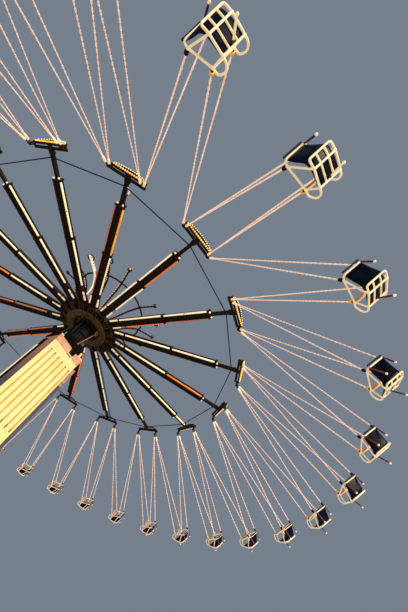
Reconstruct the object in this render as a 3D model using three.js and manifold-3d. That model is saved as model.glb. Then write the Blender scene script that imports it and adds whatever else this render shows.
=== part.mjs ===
import * as THREE from 'three';
import { mergeVertices } from 'three/addons/utils/BufferGeometryUtils.js';
import Module from 'manifold-3d';

const wasm = await Module();
wasm.setup();

// Driving dimensions, in millimetres and degrees
const GAP = 0.3;
const ARM_COUNT = 16;
const ARM_PITCH = 360 / ARM_COUNT;
const FIRST_ARM_ANGLE = 4.67;
const HOOK_RADIUS = 7500;
const HOOK_HEIGHT = 10850;
const HOOK_OFFSET_ANGLE = 4.67;
const SWING_ANGLE = 53.3;

const TOWER_WIDTH = 1500;
const TOWER_DEPTH = 1150;
const TOWER_TOP = HOOK_HEIGHT - 1755;
const FLANGE_MARGIN = 260;
const FLANGE_THICKNESS = 60;
const CLADDING_THICKNESS = 60;
const FRONT_RETURN = 670;
const REAR_RETURN = 270;
const CORE_HALF_WIDTH = 600;
const CAP_THICKNESS = 70;
const CURB_HEIGHT = 150;
const DECK_HEIGHT = TOWER_TOP + CURB_HEIGHT + GAP;
const HOUSING_HEIGHT = 330;
const HOUSING_FRONT = -TOWER_DEPTH / 2 - 60;
const ROD_RING_DROP = 140;

const HUB_FLAT_RADIUS = 1060;
const HUB_BOTTOM = 0;
const HUB_TOP = 480;
const HUB_RECESS_RADIUS = 700;
const HUB_RECESS_TOP = 220;
const NECK_RADIUS = 430;

const CROWN_BASE = HUB_TOP + 60;
const GARLAND_RADIUS = 1920;
const GARLAND_HEIGHT = 1990;
const STEM_ANGLE = 7.4;
const STEM_POINTS = [[590, 560], [1020, 1060], [1480, 1660], [1920, 1990], [2650, 2150]];
const STEM_WIDTH = 44;
const STEM_STEPS = 7;
const KNOB_HALF = 40;

const ARM_CENTRE = 240;
const INNER_ARM_END = 4350;
const OUTER_ARM_END = 6450;
const ARM_ROOT = { halfWidth: 190, halfHeight: 200 };
const INNER_ARM = { halfWidth: 150, halfHeight: 130 };
const OUTER_ARM = { halfWidth: 130, halfHeight: 110 };
const ARM_COLLAR = { halfWidth: 158, halfHeight: 128 };
const ARM_TIP = { halfWidth: 65, halfHeight: 62 };
const CROSSBAR_INNER = 7330;
const CROSSBAR_BOTTOM = 180;
const CROSSBAR_HALF_LENGTH = 655;
const CROSSBAR_WIDTH = 185;
const CROSSBAR_HEIGHT = 130;
const BOARD_RISE = 150;
const BOARD_STEPS = 4;
const BOARD_THICKNESS = 35;
const STAY_RADIUS = 7120;
const STAY_DIAMETER = 18;

const HOOK_PLATE_HALF = 30;
const HOOK_PLATE_REACH = 42;
const PIN_RADIUS = 14;
const EYE_HOLE_HALF = 15;
const EYE_HALF = 36;
const EYE_THICKNESS = 28;
const CHAIN_WIDTH = 18;

// Chair, measured from the pivot line: y runs forward and z up along the chains
const SEAT_HALF_WIDTH = 275;
const SEAT_TUBE = 28;
const REAR_CHAIN_POINT = { x: 262, y: -245, z: -5262 };
const FRONT_CHAIN_POINT = { x: 262, y: 225, z: -5334 };
const LOOP_FRONT = { y: 430, z: -5446 };
const SEAT_MIDDLE = { y: 20, z: -5690 };
const SEAT_FRONT = { y: 316, z: -5600 };
const SEAT_REAR = -155;
const BACK_HOOP = { x: 236, y: -362, z: -5290 };
const SHELL_HALF_WIDTH = 205;
const SHELL_WALL = 20;
const SHELL_OUTLINE = [
  [-150, -5677], [20, -5674], [310, -5600], [302, -5545], [60, -5585], [-70, -5550],
  [-245, -5330], [-350, -5284],
];
const SHELL_SPACE = [[-90, -5645], [346, -5562], [346, -5400], [-200, -5270], [-312, -5275]];
const REAR_ROD = { x: 230, y: -340, top: -5290, bottom: -5610 };
const FRONT_ROD = { x: 0, y: 230, top: -5600, bottom: -5970 };

// Start angles of a lathe that has one corner for each arm
const AT_ARMS = 90 + FIRST_ARM_ANGLE;
const AT_STEMS = AT_ARMS + STEM_ANGLE;
const BETWEEN_ARMS = AT_ARMS + ARM_PITCH / 2;

const radians = THREE.MathUtils.degToRad;
const vector = (x, y, z) => new THREE.Vector3(x, y, z);

// Finishes
const finish = (color, roughness, metalness) =>
  new THREE.MeshStandardMaterial({ color, roughness, metalness });
const FINISHES = {
  cream: finish(0xf0dc9c, 0.5, 0.1),
  darkSteel: finish(0x241a14, 0.6, 0.4),
  black: finish(0x0d0d10, 0.6, 0.3),
  salmon: finish(0xdf9c86, 0.6, 0.1),
  brownPaint: finish(0x3a2c1a, 0.6, 0.3),
  cable: finish(0x1a2433, 0.5, 0.6),
  greySteel: finish(0x4a4750, 0.6, 0.4),
  rose: finish(0xc99080, 0.5, 0.3),
};

// Solids from geometry, and back
function toSolid(geometry) {
  const bare = geometry.index ? geometry.toNonIndexed() : geometry.clone();
  bare.deleteAttribute('normal');
  bare.deleteAttribute('uv');
  const merged = mergeVertices(bare, 1e-3);
  return new wasm.Manifold(new wasm.Mesh({
    numProp: 3,
    vertProperties: new Float32Array(merged.attributes.position.array),
    triVerts: new Uint32Array(merged.index.array),
  }));
}

function toGeometry(solid) {
  const mesh = solid.getMesh();
  const geometry = new THREE.BufferGeometry();
  geometry.setAttribute('position', new THREE.BufferAttribute(mesh.vertProperties, 3));
  geometry.setIndex(new THREE.BufferAttribute(mesh.triVerts, 1));
  return geometry;
}

const join = (solids) => solids.reduce((whole, piece) => whole.add(piece));

// A box between two opposite corners
function block(x0, x1, y0, y1, z0, z1) {
  const geometry = new THREE.BoxGeometry(x1 - x0, y1 - y0, z1 - z0);
  geometry.translate((x0 + x1) / 2, (y0 + y1) / 2, (z0 + z1) / 2);
  return toSolid(geometry);
}

// A straight bar of a few sides from one point to another
function bar(from, to, width, sides = 4) {
  const along = to.clone().sub(from);
  const geometry = new THREE.CylinderGeometry(width / 2, width / 2, along.length(), sides);
  const turn = new THREE.Quaternion().setFromUnitVectors(vector(0, 1, 0), along.clone().normalize());
  geometry.applyQuaternion(turn);
  const middle = from.clone().add(to).multiplyScalar(0.5);
  geometry.translate(middle.x, middle.y, middle.z);
  return toSolid(geometry);
}

// A square bar swept along a smooth curve through a few points
function sweptBar(points, width, steps) {
  const half = width / 2;
  const section = new THREE.Shape([
    new THREE.Vector2(-half, -half), new THREE.Vector2(half, -half),
    new THREE.Vector2(half, half), new THREE.Vector2(-half, half),
  ]);
  const path = new THREE.CatmullRomCurve3(points);
  return toSolid(new THREE.ExtrudeGeometry(section, { steps, extrudePath: path, bevelEnabled: false }));
}

// An outline in the XY plane, raised from one height to another
function prism(outline, z0, z1, holes = []) {
  const flat = (points) => points.map(([x, y]) => new THREE.Vector2(x, y));
  const shape = new THREE.Shape(flat(outline));
  holes.forEach((hole) => shape.holes.push(new THREE.Path(flat(hole))));
  const geometry = new THREE.ExtrudeGeometry(shape, { depth: z1 - z0, bevelEnabled: false });
  geometry.translate(0, 0, z0);
  return toSolid(geometry);
}

// A turned solid about the Z axis; the profile lists radius and height
function turned(profile, sides, startAngle = 0) {
  const points = profile.map(([r, z]) => new THREE.Vector2(r, z));
  const geometry = new THREE.LatheGeometry(points, sides, radians(startAngle));
  geometry.rotateX(Math.PI / 2);
  return toSolid(geometry);
}

const rectangle = (x0, x1, y0, y1) => [[x0, y0], [x1, y0], [x1, y1], [x0, y1]];

// Tower
function gusset(reach) {
  const outline = [[0, 0], [reach, 0], [30, 300], [0, 300]];
  return prism(outline, -15, 15).rotate([90, 0, 0]).translate([0, 0, FLANGE_THICKNESS - 1]);
}

function baseFlange() {
  const halfX = TOWER_WIDTH / 2 + FLANGE_MARGIN;
  const halfY = TOWER_DEPTH / 2 + FLANGE_MARGIN;
  const foot = 20;
  const fin = gusset(FLANGE_MARGIN - foot - 30);
  const pieces = [block(-halfX, halfX, -halfY, halfY, 0, FLANGE_THICKNESS)];
  for (const turn of [0, 180]) {
    for (const offset of [-380, 0, 380]) {
      pieces.push(fin.translate([TOWER_WIDTH / 2 + foot, offset, 0]).rotate([0, 0, turn]));
    }
    for (const offset of [-500, 0, 500]) {
      pieces.push(fin.translate([TOWER_DEPTH / 2 + foot, offset, 0]).rotate([0, 0, turn + 90]));
    }
  }
  return join(pieces);
}

function towerCore() {
  const depth = TOWER_DEPTH / 2 - CLADDING_THICKNESS - GAP;
  return block(-CORE_HALF_WIDTH, CORE_HALF_WIDTH, -depth, depth, FLANGE_THICKNESS + GAP, TOWER_TOP - GAP);
}

// A channel-shaped clad half: a broad face with a return on each side
function clad(faceY, returnDepth) {
  const half = TOWER_WIDTH / 2;
  const inward = faceY < 0 ? 1 : -1;
  const bottom = FLANGE_THICKNESS + GAP;
  const top = TOWER_TOP - GAP;
  const span = (a, b) => [Math.min(a, b), Math.max(a, b)];
  const face = block(-half, half, ...span(faceY, faceY + inward * CLADDING_THICKNESS), bottom, top);
  const sides = [-1, 1].map((side) => block(
    ...span(side * half, side * (half - CLADDING_THICKNESS)),
    ...span(faceY, faceY + inward * returnDepth), bottom, top,
  ));
  return join([face, ...sides]);
}

// Runs up the right-hand side close to the front corner
function cableDuct() {
  const inner = TOWER_WIDTH / 2 + GAP;
  const front = -TOWER_DEPTH / 2 + 30;
  return block(inner, inner + 150, front, front + 150, FLANGE_THICKNESS + 380, TOWER_TOP - 350);
}

function towerCap() {
  const halfX = TOWER_WIDTH / 2;
  const halfY = TOWER_DEPTH / 2;
  const inset = 60;
  const plate = block(-halfX, halfX, -halfY, halfY, TOWER_TOP, TOWER_TOP + CAP_THICKNESS);
  const curb = block(-halfX + inset, halfX - inset, -halfY + inset, halfY - inset,
    TOWER_TOP + CAP_THICKNESS - 1, TOWER_TOP + CURB_HEIGHT);
  return plate.add(curb);
}

function hubNeck() {
  const bottom = DECK_HEIGHT;
  const top = HOOK_HEIGHT + HUB_RECESS_TOP - GAP;
  const foot = NECK_RADIUS + 70;
  const collar = NECK_RADIUS + 150;
  return turned([[0, bottom], [foot, bottom], [foot, bottom + 80], [NECK_RADIUS, bottom + 80],
    [NECK_RADIUS, top - 140], [collar, top - 90], [collar, top], [0, top]], 24);
}

function driveHousing() {
  const top = DECK_HEIGHT + HOUSING_HEIGHT;
  const box = block(-620, 440, HOUSING_FRONT, -NECK_RADIUS - 85, DECK_HEIGHT, top);
  const gearbox = block(
    120, 420, -NECK_RADIUS - 110, -NECK_RADIUS - 15, DECK_HEIGHT + 100, top + 160,
  );
  return box.add(gearbox);
}

// A leaning rod with a ring on top, close under the turning head
function torqueRod() {
  const foot = vector(60, -560, DECK_HEIGHT + HOUSING_HEIGHT + GAP);
  const eyeCentre = vector(250, -600, HOOK_HEIGHT - ROD_RING_DROP);
  const base = block(foot.x - 60, foot.x + 60, foot.y - 35, foot.y + 35, foot.z, foot.z + 40);
  const ringProfile = [[62, -18], [100, -18], [100, 18], [62, 18], [62, -18]];
  const ring = turned(ringProfile, 12).rotate([90, 0, 30]).translate(eyeCentre.toArray());
  const towardEye = eyeCentre.clone().sub(foot).normalize();
  const rodTop = eyeCentre.clone().addScaledVector(towardEye, -80);
  return join([base, bar(foot.clone().setZ(foot.z + 20), rodTop, 46, 6), ring]);
}

// Turning head
function hubDrum() {
  const corner = 1 / Math.cos(Math.PI / ARM_COUNT);
  const outer = HUB_FLAT_RADIUS * corner;
  const z = (height) => HOOK_HEIGHT + height;
  const profile = [
    [0, z(HUB_RECESS_TOP)], [HUB_RECESS_RADIUS, z(HUB_RECESS_TOP)],
    [HUB_RECESS_RADIUS, z(HUB_BOTTOM)], [outer, z(HUB_BOTTOM)], [outer, z(HUB_TOP)],
    [HUB_RECESS_RADIUS, z(CROWN_BASE)], [0, z(CROWN_BASE)],
  ];
  return turned(profile, ARM_COUNT, BETWEEN_ARMS);
}

// One arm lies along +X before it is turned to its place
function hookPlate(side) {
  const x = HOOK_RADIUS * Math.cos(radians(HOOK_OFFSET_ANGLE));
  const y = HOOK_RADIUS * Math.sin(radians(HOOK_OFFSET_ANGLE));
  const lean = radians(ARM_PITCH / 2);
  const along = [-Math.sin(lean), Math.cos(lean)];
  const across = [Math.cos(lean), Math.sin(lean)];
  const outerFace = (s) => [
    x + HOOK_PLATE_HALF * along[0] + s * HOOK_PLATE_REACH * across[0],
    y + HOOK_PLATE_HALF * along[1] + s * HOOK_PLATE_REACH * across[1],
  ];
  const outline = [
    [x - HOOK_PLATE_REACH, y - HOOK_PLATE_HALF], [x + HOOK_PLATE_REACH, y - HOOK_PLATE_HALF],
    outerFace(1), outerFace(-1),
  ];
  const plate = prism(outline, -HOOK_PLATE_REACH, CROSSBAR_BOTTOM + 5);
  const pinLength = HOOK_PLATE_HALF + EYE_THICKNESS + 4;
  const middle = vector(x, y, 0);
  const outerEnd = vector(x + pinLength * along[0], y + pinLength * along[1], 0);
  const innerPin = bar(middle, vector(x, y - pinLength, 0), 2 * PIN_RADIUS);
  const outerPin = bar(middle, outerEnd, 2 * PIN_RADIUS);
  const whole = join([plate, innerPin, outerPin]);
  return side > 0 ? whole : whole.mirror([0, 1, 0]);
}

function crossbar() {
  const half = CROSSBAR_HALF_LENGTH;
  const top = CROSSBAR_BOTTOM + CROSSBAR_HEIGHT;
  const outer = CROSSBAR_INNER + CROSSBAR_WIDTH;
  const slotInner = CROSSBAR_INNER + 70;
  const slotOuter = outer - 70;
  const slots = [
    rectangle(slotInner, slotOuter, -half + 140, -45),
    rectangle(slotInner, slotOuter, 45, half - 140),
  ];
  const beams = prism(rectangle(CROSSBAR_INNER, outer, -half, half), CROSSBAR_BOTTOM, top, slots);
  return beams.add(archBoard());
}

// The light board: a straight lower edge and an arched upper edge
function archBoard() {
  const half = CROSSBAR_HALF_LENGTH - 25;
  const shoulder = CROSSBAR_BOTTOM + CROSSBAR_HEIGHT;
  const outline = [[-half, CROSSBAR_BOTTOM + 10], [half, CROSSBAR_BOTTOM + 10]];
  for (let i = 0; i <= BOARD_STEPS; i += 1) {
    const t = 1 - (2 * i) / BOARD_STEPS;
    outline.push([t * half, shoulder + BOARD_RISE * (1 - t * t)]);
  }
  const inner = CROSSBAR_INNER + CROSSBAR_WIDTH - 5;
  return prism(outline, 0, BOARD_THICKNESS).rotate([90, 0, 90]).translate([inner, 0, 0]);
}

function armSolid() {
  const root = HUB_FLAT_RADIUS + GAP;
  const beam = (x0, x1, { halfWidth, halfHeight }) =>
    block(x0, x1, -halfWidth, halfWidth, ARM_CENTRE - halfHeight, ARM_CENTRE + halfHeight);
  const pieces = [
    beam(root, root + 40, ARM_ROOT),
    beam(root + 20, INNER_ARM_END, INNER_ARM),
    beam(INNER_ARM_END - 20, OUTER_ARM_END, OUTER_ARM),
    beam(OUTER_ARM_END - 50, OUTER_ARM_END + 20, ARM_COLLAR),
    beam(OUTER_ARM_END, CROSSBAR_INNER + 20, ARM_TIP),
    crossbar(),
    hookPlate(1),
    hookPlate(-1),
  ];
  return join(pieces);
}

// Ring stay under the outer ends of the arms
function ringStay() {
  const half = STAY_DIAMETER / 2;
  const middle = ARM_CENTRE - ARM_TIP.halfHeight - GAP - half;
  return ringOfBars(STAY_RADIUS, middle, half, AT_ARMS);
}

// A ring of straight square bars, as many as there are arms
function ringOfBars(corner, height, half, startAngle) {
  const low = height - half;
  const high = height + half;
  const inner = corner - half;
  const outer = corner + half;
  const profile = [[inner, low], [outer, low], [outer, high], [inner, high], [inner, low]];
  return turned(profile, ARM_COUNT, startAngle);
}

// Lamp crown: stems rise from the hub and bend outwards, tied by a garland ring
function crownStem() {
  const points = STEM_POINTS.map(([radius, height]) => vector(radius, 0, height));
  const knob = block(-KNOB_HALF, KNOB_HALF, -KNOB_HALF, KNOB_HALF, -KNOB_HALF, KNOB_HALF);
  return sweptBar(points, STEM_WIDTH, STEM_STEPS).add(knob.translate(points.at(-1).toArray()));
}

function crown() {
  const seat = CROWN_BASE + GAP;
  const cap = turned(
    [[0, seat], [640, seat], [560, CROWN_BASE + 120], [0, CROWN_BASE + 200]], ARM_COUNT,
  );
  const stem = crownStem();
  const stems = Array.from({ length: ARM_COUNT }, (_, i) =>
    stem.rotate([0, 0, FIRST_ARM_ANGLE + STEM_ANGLE + i * ARM_PITCH]));
  return join([cap, ...stems, ringOfBars(GARLAND_RADIUS, GARLAND_HEIGHT, 18, AT_STEMS)]);
}

// Swinging chair, hanging from a pivot line along Y through the origin
function eye(pivotHalf, side) {
  const outline = rectangle(-EYE_HALF, EYE_HALF, -EYE_HALF - 14, EYE_HALF);
  const hole = rectangle(-EYE_HOLE_HALF, EYE_HOLE_HALF, -EYE_HOLE_HALF, EYE_HOLE_HALF);
  const plate = prism(outline, 0, EYE_THICKNESS, [hole]).rotate([90, 0, 0]);
  const outerFace = pivotHalf - HOOK_PLATE_HALF - GAP;
  return plate.translate([0, side > 0 ? outerFace : -outerFace + EYE_THICKNESS, 0]);
}

function chains(pivotHalf) {
  const top = pivotHalf - HOOK_PLATE_HALF - GAP - EYE_THICKNESS / 2;
  const solids = [];
  for (const side of [-1, 1]) {
    for (const [y, end] of [[-top, REAR_CHAIN_POINT], [top, FRONT_CHAIN_POINT]]) {
      const start = vector(side * 10, y, -EYE_HALF - 5);
      solids.push(bar(start, vector(side * end.x, end.y, end.z), CHAIN_WIDTH, 3));
    }
  }
  return join(solids);
}

// One side of the seat frame: a quadrilateral of tubes with a loop in front of it
function seatSide(side) {
  const outline = [
    [SEAT_MIDDLE.y, SEAT_MIDDLE.z - 16], [SEAT_FRONT.y + 19, SEAT_FRONT.z - 12],
    [LOOP_FRONT.y + 18, LOOP_FRONT.z], [FRONT_CHAIN_POINT.y + 3, FRONT_CHAIN_POINT.z + 17],
    [REAR_CHAIN_POINT.y - 17, REAR_CHAIN_POINT.z + 17], [SEAT_MIDDLE.y - 28, SEAT_MIDDLE.z + 12],
  ];
  const seatOpening = [
    [SEAT_MIDDLE.y + 2, SEAT_MIDDLE.z + 17], [SEAT_FRONT.y - 16, SEAT_FRONT.z + 10],
    [FRONT_CHAIN_POINT.y - 10, FRONT_CHAIN_POINT.z - 16],
    [REAR_CHAIN_POINT.y + 35, REAR_CHAIN_POINT.z - 23],
  ];
  const loopOpening = [
    [SEAT_FRONT.y + 10, SEAT_FRONT.z + 20], [LOOP_FRONT.y - 18, LOOP_FRONT.z - 1],
    [FRONT_CHAIN_POINT.y + 20, FRONT_CHAIN_POINT.z - 24],
  ];
  const plate = prism(outline, 0, SEAT_TUBE, [seatOpening, loopOpening]).rotate([90, 0, 90]);
  const placed = plate.translate([SEAT_HALF_WIDTH - SEAT_TUBE, 0, 0]);
  return side > 0 ? placed : placed.mirror([1, 0, 0]);
}

// A flat hoop open towards the front, its legs narrowing towards the rear
function hoop(halfWidth, frontY, rearHalfWidth, rearY, height) {
  const tube = SEAT_TUBE;
  const outline = [
    [-halfWidth, frontY], [-rearHalfWidth, rearY], [rearHalfWidth, rearY], [halfWidth, frontY],
    [halfWidth - tube, frontY], [rearHalfWidth - tube, rearY + tube],
    [-rearHalfWidth + tube, rearY + tube], [-halfWidth + tube, frontY],
  ];
  return prism(outline, height - tube / 2, height + tube / 2);
}

function seatFrame() {
  const half = SEAT_TUBE / 2;
  const inset = 2;
  const reach = SEAT_HALF_WIDTH - half;
  const cross = ({ y, z }) =>
    block(-reach, reach, y - half + inset, y + half - inset, z - half + inset, z + half - inset);
  return join([
    seatSide(-1), seatSide(1), cross(SEAT_MIDDLE), cross(SEAT_FRONT), cross(FRONT_CHAIN_POINT),
    hoop(SEAT_HALF_WIDTH - 2, SEAT_MIDDLE.y, 225, SEAT_REAR, SEAT_MIDDLE.z - 4),
    hoop(SEAT_HALF_WIDTH - 2, REAR_CHAIN_POINT.y + 10, BACK_HOOP.x, BACK_HOOP.y, BACK_HOOP.z + 12),
  ]);
}

// Seat pan and leaning back in one sheet, with a wing along each side
function seatShell() {
  const half = SHELL_HALF_WIDTH;
  const inner = half - SHELL_WALL;
  const outside = prism(SHELL_OUTLINE, -half, half).rotate([90, 0, 90]);
  return outside.subtract(prism(SHELL_SPACE, -inner, inner).rotate([90, 0, 90]));
}

// One rod hangs behind the back, the other under the front of the seat
function lockRods() {
  const half = 10;
  return join([REAR_ROD, FRONT_ROD].map(({ x, y, top, bottom }) =>
    block(x - half, x + half, y - half, y + half, bottom, top)));
}

function chairSolid(pivotHalf) {
  return join([
    eye(pivotHalf, -1), eye(pivotHalf, 1), chains(pivotHalf), seatFrame(), seatShell(), lockRods(),
  ]);
}

// Scene graph
const swingRide = new THREE.Group();

function add(parent, name, solid, material) {
  const mesh = new THREE.Mesh(toGeometry(solid), material);
  mesh.name = name;
  parent.add(mesh);
  return mesh;
}

const twoDigits = (number) => String(number).padStart(2, '0');

function buildTower() {
  const half = TOWER_DEPTH / 2;
  add(swingRide, 'base_flange', baseFlange(), FINISHES.greySteel);
  add(swingRide, 'tower_core', towerCore(), FINISHES.black);
  add(swingRide, 'front_cladding', clad(-half, FRONT_RETURN), FINISHES.cream);
  add(swingRide, 'rear_cladding', clad(half, REAR_RETURN), FINISHES.cream);
  add(swingRide, 'cable_duct', cableDuct(), FINISHES.greySteel);
  add(swingRide, 'tower_cap', towerCap(), FINISHES.salmon);
  add(swingRide, 'hub_neck', hubNeck(), FINISHES.black);
  add(swingRide, 'drive_housing', driveHousing(), FINISHES.black);
  add(swingRide, 'torque_rod', torqueRod(), FINISHES.rose);
}

function buildHead() {
  add(swingRide, 'hub_drum', hubDrum(), FINISHES.brownPaint);
  const head = new THREE.Group();
  head.position.z = HOOK_HEIGHT;
  swingRide.add(head);
  add(head, 'crown', crown(), FINISHES.darkSteel);
  add(head, 'ring_stay', ringStay(), FINISHES.cable);
  const arm = armSolid();
  for (let i = 0; i < ARM_COUNT; i += 1) {
    const mesh = add(head, `arm_${twoDigits(i + 1)}`, arm, FINISHES.darkSteel);
    mesh.rotation.z = radians(FIRST_ARM_ANGLE + i * ARM_PITCH);
  }
}

function buildChairs() {
  const ownHalfAngle = HOOK_OFFSET_ANGLE;
  const gapHalfAngle = ARM_PITCH / 2 - HOOK_OFFSET_ANGLE;
  const kinds = [ownHalfAngle, gapHalfAngle].map((angle) => ({
    radius: HOOK_RADIUS * Math.cos(radians(angle)),
    solid: chairSolid(HOOK_RADIUS * Math.sin(radians(angle))),
  }));
  for (let i = 0; i < 2 * ARM_COUNT; i += 1) {
    const kind = kinds[i % 2];
    const station = new THREE.Group();
    station.rotation.z = radians(FIRST_ARM_ANGLE + (i * ARM_PITCH) / 2);
    const hinge = new THREE.Group();
    hinge.position.set(kind.radius, 0, HOOK_HEIGHT);
    hinge.rotation.y = -radians(SWING_ANGLE);
    station.add(hinge);
    swingRide.add(station);
    add(hinge, `chair_${twoDigits(i + 1)}`, kind.solid, FINISHES.cream);
  }
}

buildTower();
buildHead();
buildChairs();

export default swingRide;
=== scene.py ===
"""Chair swing ride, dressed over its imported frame.

A fixed clad tower carries a turning head with sixteen arms. Each pair of hooks carries a chair on
four chains, flung outwards. All sizes are in metres. The head's axis is +Z, the tower's broad
front faces -Y, and heights inside the head are measured from the plane of its hooks.
"""

import logging
import math
from dataclasses import dataclass
from enum import Enum

import bpy
import numpy as np
from mathutils import Matrix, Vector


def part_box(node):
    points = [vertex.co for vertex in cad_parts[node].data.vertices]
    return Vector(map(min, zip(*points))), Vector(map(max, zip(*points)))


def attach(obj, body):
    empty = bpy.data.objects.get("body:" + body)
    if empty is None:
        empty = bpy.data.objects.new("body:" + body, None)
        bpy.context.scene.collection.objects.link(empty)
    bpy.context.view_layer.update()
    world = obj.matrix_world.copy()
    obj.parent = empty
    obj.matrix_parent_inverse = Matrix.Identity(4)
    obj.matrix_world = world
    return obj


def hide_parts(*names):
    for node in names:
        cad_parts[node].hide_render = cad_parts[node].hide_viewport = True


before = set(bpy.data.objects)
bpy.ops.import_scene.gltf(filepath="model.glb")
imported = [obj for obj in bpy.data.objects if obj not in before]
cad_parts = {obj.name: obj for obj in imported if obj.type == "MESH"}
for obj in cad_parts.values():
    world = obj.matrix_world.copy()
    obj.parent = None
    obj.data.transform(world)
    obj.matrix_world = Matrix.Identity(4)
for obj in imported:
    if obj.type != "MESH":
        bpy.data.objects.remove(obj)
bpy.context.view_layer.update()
LOG = logging.getLogger("swing_ride")

Array = np.ndarray
Point = tuple[float, float, float]
Tree, Node, Socket = bpy.types.NodeTree, bpy.types.Node, bpy.types.NodeSocket
X, Y, Z = np.eye(3)

ARM_COUNT = 16
FIRST_ARM = math.radians(4.67)
PITCH = math.radians(22.5)
HOOK_RADIUS = 7.5
HOOK_HEIGHT = 10.85
HOOK_ANGLE = math.radians(4.67)
SWING = math.radians(53.3)
TOWER_TOP = HOOK_HEIGHT - 1.755
DECK = TOWER_TOP + 0.1503
SHARP_ANGLE = math.radians(40)
CAMERA_REACH = 500.0


# Finishes

COAT_ROUGHNESS = 0.12
GRAIN_DEPTH = 0.001
SPOT_SCALE, GRAIN_SCALE = 6.0, 60.0
PATCH_RANGE, GRIME_RANGE = (0.35, 0.65), (0.48, 0.72)
PATCH_ROUGHNESS, GRIME_ROUGHNESS = 0.2, 0.35
MIX_LOW, MIX_HIGH, MIX_RESULT = 6, 7, 2


def wire(tree: Tree, node: Node, inputs: dict) -> Node:
    """Link each input that is given as a socket, set the others, and return the node."""
    for key, value in inputs.items():
        if isinstance(value, Socket):
            tree.links.new(value, node.inputs[key])
        else:
            node.inputs[key].default_value = value
    return node


def add_node(tree: Tree, kind: str, inputs: dict) -> Node:
    """Add a shader node with its inputs."""
    return wire(tree, tree.nodes.new(f"ShaderNode{kind}"), inputs)


def mix(tree: Tree, factor: object, low: object, high: object) -> Socket:
    """Add a mix of two colours and return its result."""
    node = tree.nodes.new("ShaderNodeMix")
    node.data_type = "RGBA"
    return wire(tree, node, {"Factor": factor, MIX_LOW: low, MIX_HIGH: high}).outputs[MIX_RESULT]


def calculate(tree: Tree, kind: str, first: object, second: object) -> Socket:
    """Add a sum or product of two values and return its result."""
    node = tree.nodes.new("ShaderNodeMath")
    node.operation = kind
    return wire(tree, node, {0: first, 1: second}).outputs[0]


def spread(tree: Tree, value: object, limits: tuple[float, float]) -> Node:
    """Add a node that carries the limits to 0 and 1."""
    return add_node(tree, "MapRange", {"Value": value, "From Min": limits[0], "From Max": limits[1]})


@dataclass(frozen=True)
class Finish:
    """A painted, plated or moulded surface with patches, grime and a fine grain.

    Args:
        name: The material's name.
        colour: Main colour.
        shade: Colour of the broad uneven patches.
        grime: Colour of the dirt.
        roughness: Roughness of the clean surface.
        coat: Weight of a clear gloss coat.
        patch: Patches per metre.
        dirt: Share of dirt, 0 to 1.
        stretch: How far the dirt is squeezed along each axis; a low third value makes streaks.
        bump: Depth of the grain.
        glow: Emission strength in the finish's own colour: the light of lamps, and painted light on parts
            that are no lamps.
        specular: Strength of the reflection at a right angle; 0.5 is plain gloss.
        fade: Heights between which the shade gives way to the colour, a painted reflection that lightens the
            sheet towards the top, or None for patches only.
    """

    name: str
    colour: Point
    shade: Point
    grime: Point = (0.05, 0.035, 0.02)
    roughness: float = 0.5
    coat: float = 0.0
    patch: float = 1.5
    dirt: float = 0.3
    stretch: Point = (1.0, 1.0, 1.0)
    bump: float = 0.15
    glow: float = 0.0
    specular: float = 0.5
    fade: tuple[float, float] | None = None

    def material(self) -> bpy.types.Material:
        """Return the finish as a node material, made once."""
        label = f"finish_{self.name}"
        known = bpy.data.materials.get(label)
        if known:
            return known
        made = bpy.data.materials.new(label)
        made.use_nodes = True
        tree = made.node_tree
        colour, shade, grime = ((*value, 1) for value in (self.colour, self.shade, self.grime))
        place = tree.nodes.new("ShaderNodeTexCoord").outputs["Object"]
        weather = tree.nodes.new("ShaderNodeGroup")
        weather.node_tree = weathering()
        wire(tree, weather, {
            "Position": place, "Colour": colour, "Shade": shade, "Grime": grime, "Patches": self.patch,
            "Dirt": self.dirt, "Roughness": self.roughness, "Stretch": self.stretch})
        grain = add_node(tree, "Bump", {
            "Strength": self.bump, "Distance": GRAIN_DEPTH, "Height": weather.outputs["Height"]})
        shader = wire(tree, tree.nodes["Principled BSDF"], {
            "Base Color": weather.outputs["Colour"], "Roughness": weather.outputs["Roughness"],
            "Normal": grain.outputs["Normal"], "Coat Weight": self.coat, "Coat Roughness": COAT_ROUGHNESS,
            "Specular IOR Level": self.specular})
        # Painted reflection: between the two heights the colour turns from the shade to the main colour.
        if self.fade:
            ramp = spread(tree, add_node(tree, "SeparateXYZ", {0: place}).outputs["Z"], self.fade)
            ramp.interpolation_type = "SMOOTHSTEP"
            blend = mix(tree, ramp.outputs["Result"], shade, colour)
            wire(tree, weather, {"Colour": blend, "Shade": blend})
        # Emission: lamp light on the bulbs, part lamp light and part painted sunlight on the strips, and
        # painted light on every other glowing finish.
        if self.glow:
            wire(tree, shader, {"Emission Color": weather.outputs["Colour"], "Emission Strength": self.glow})
        return made


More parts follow.
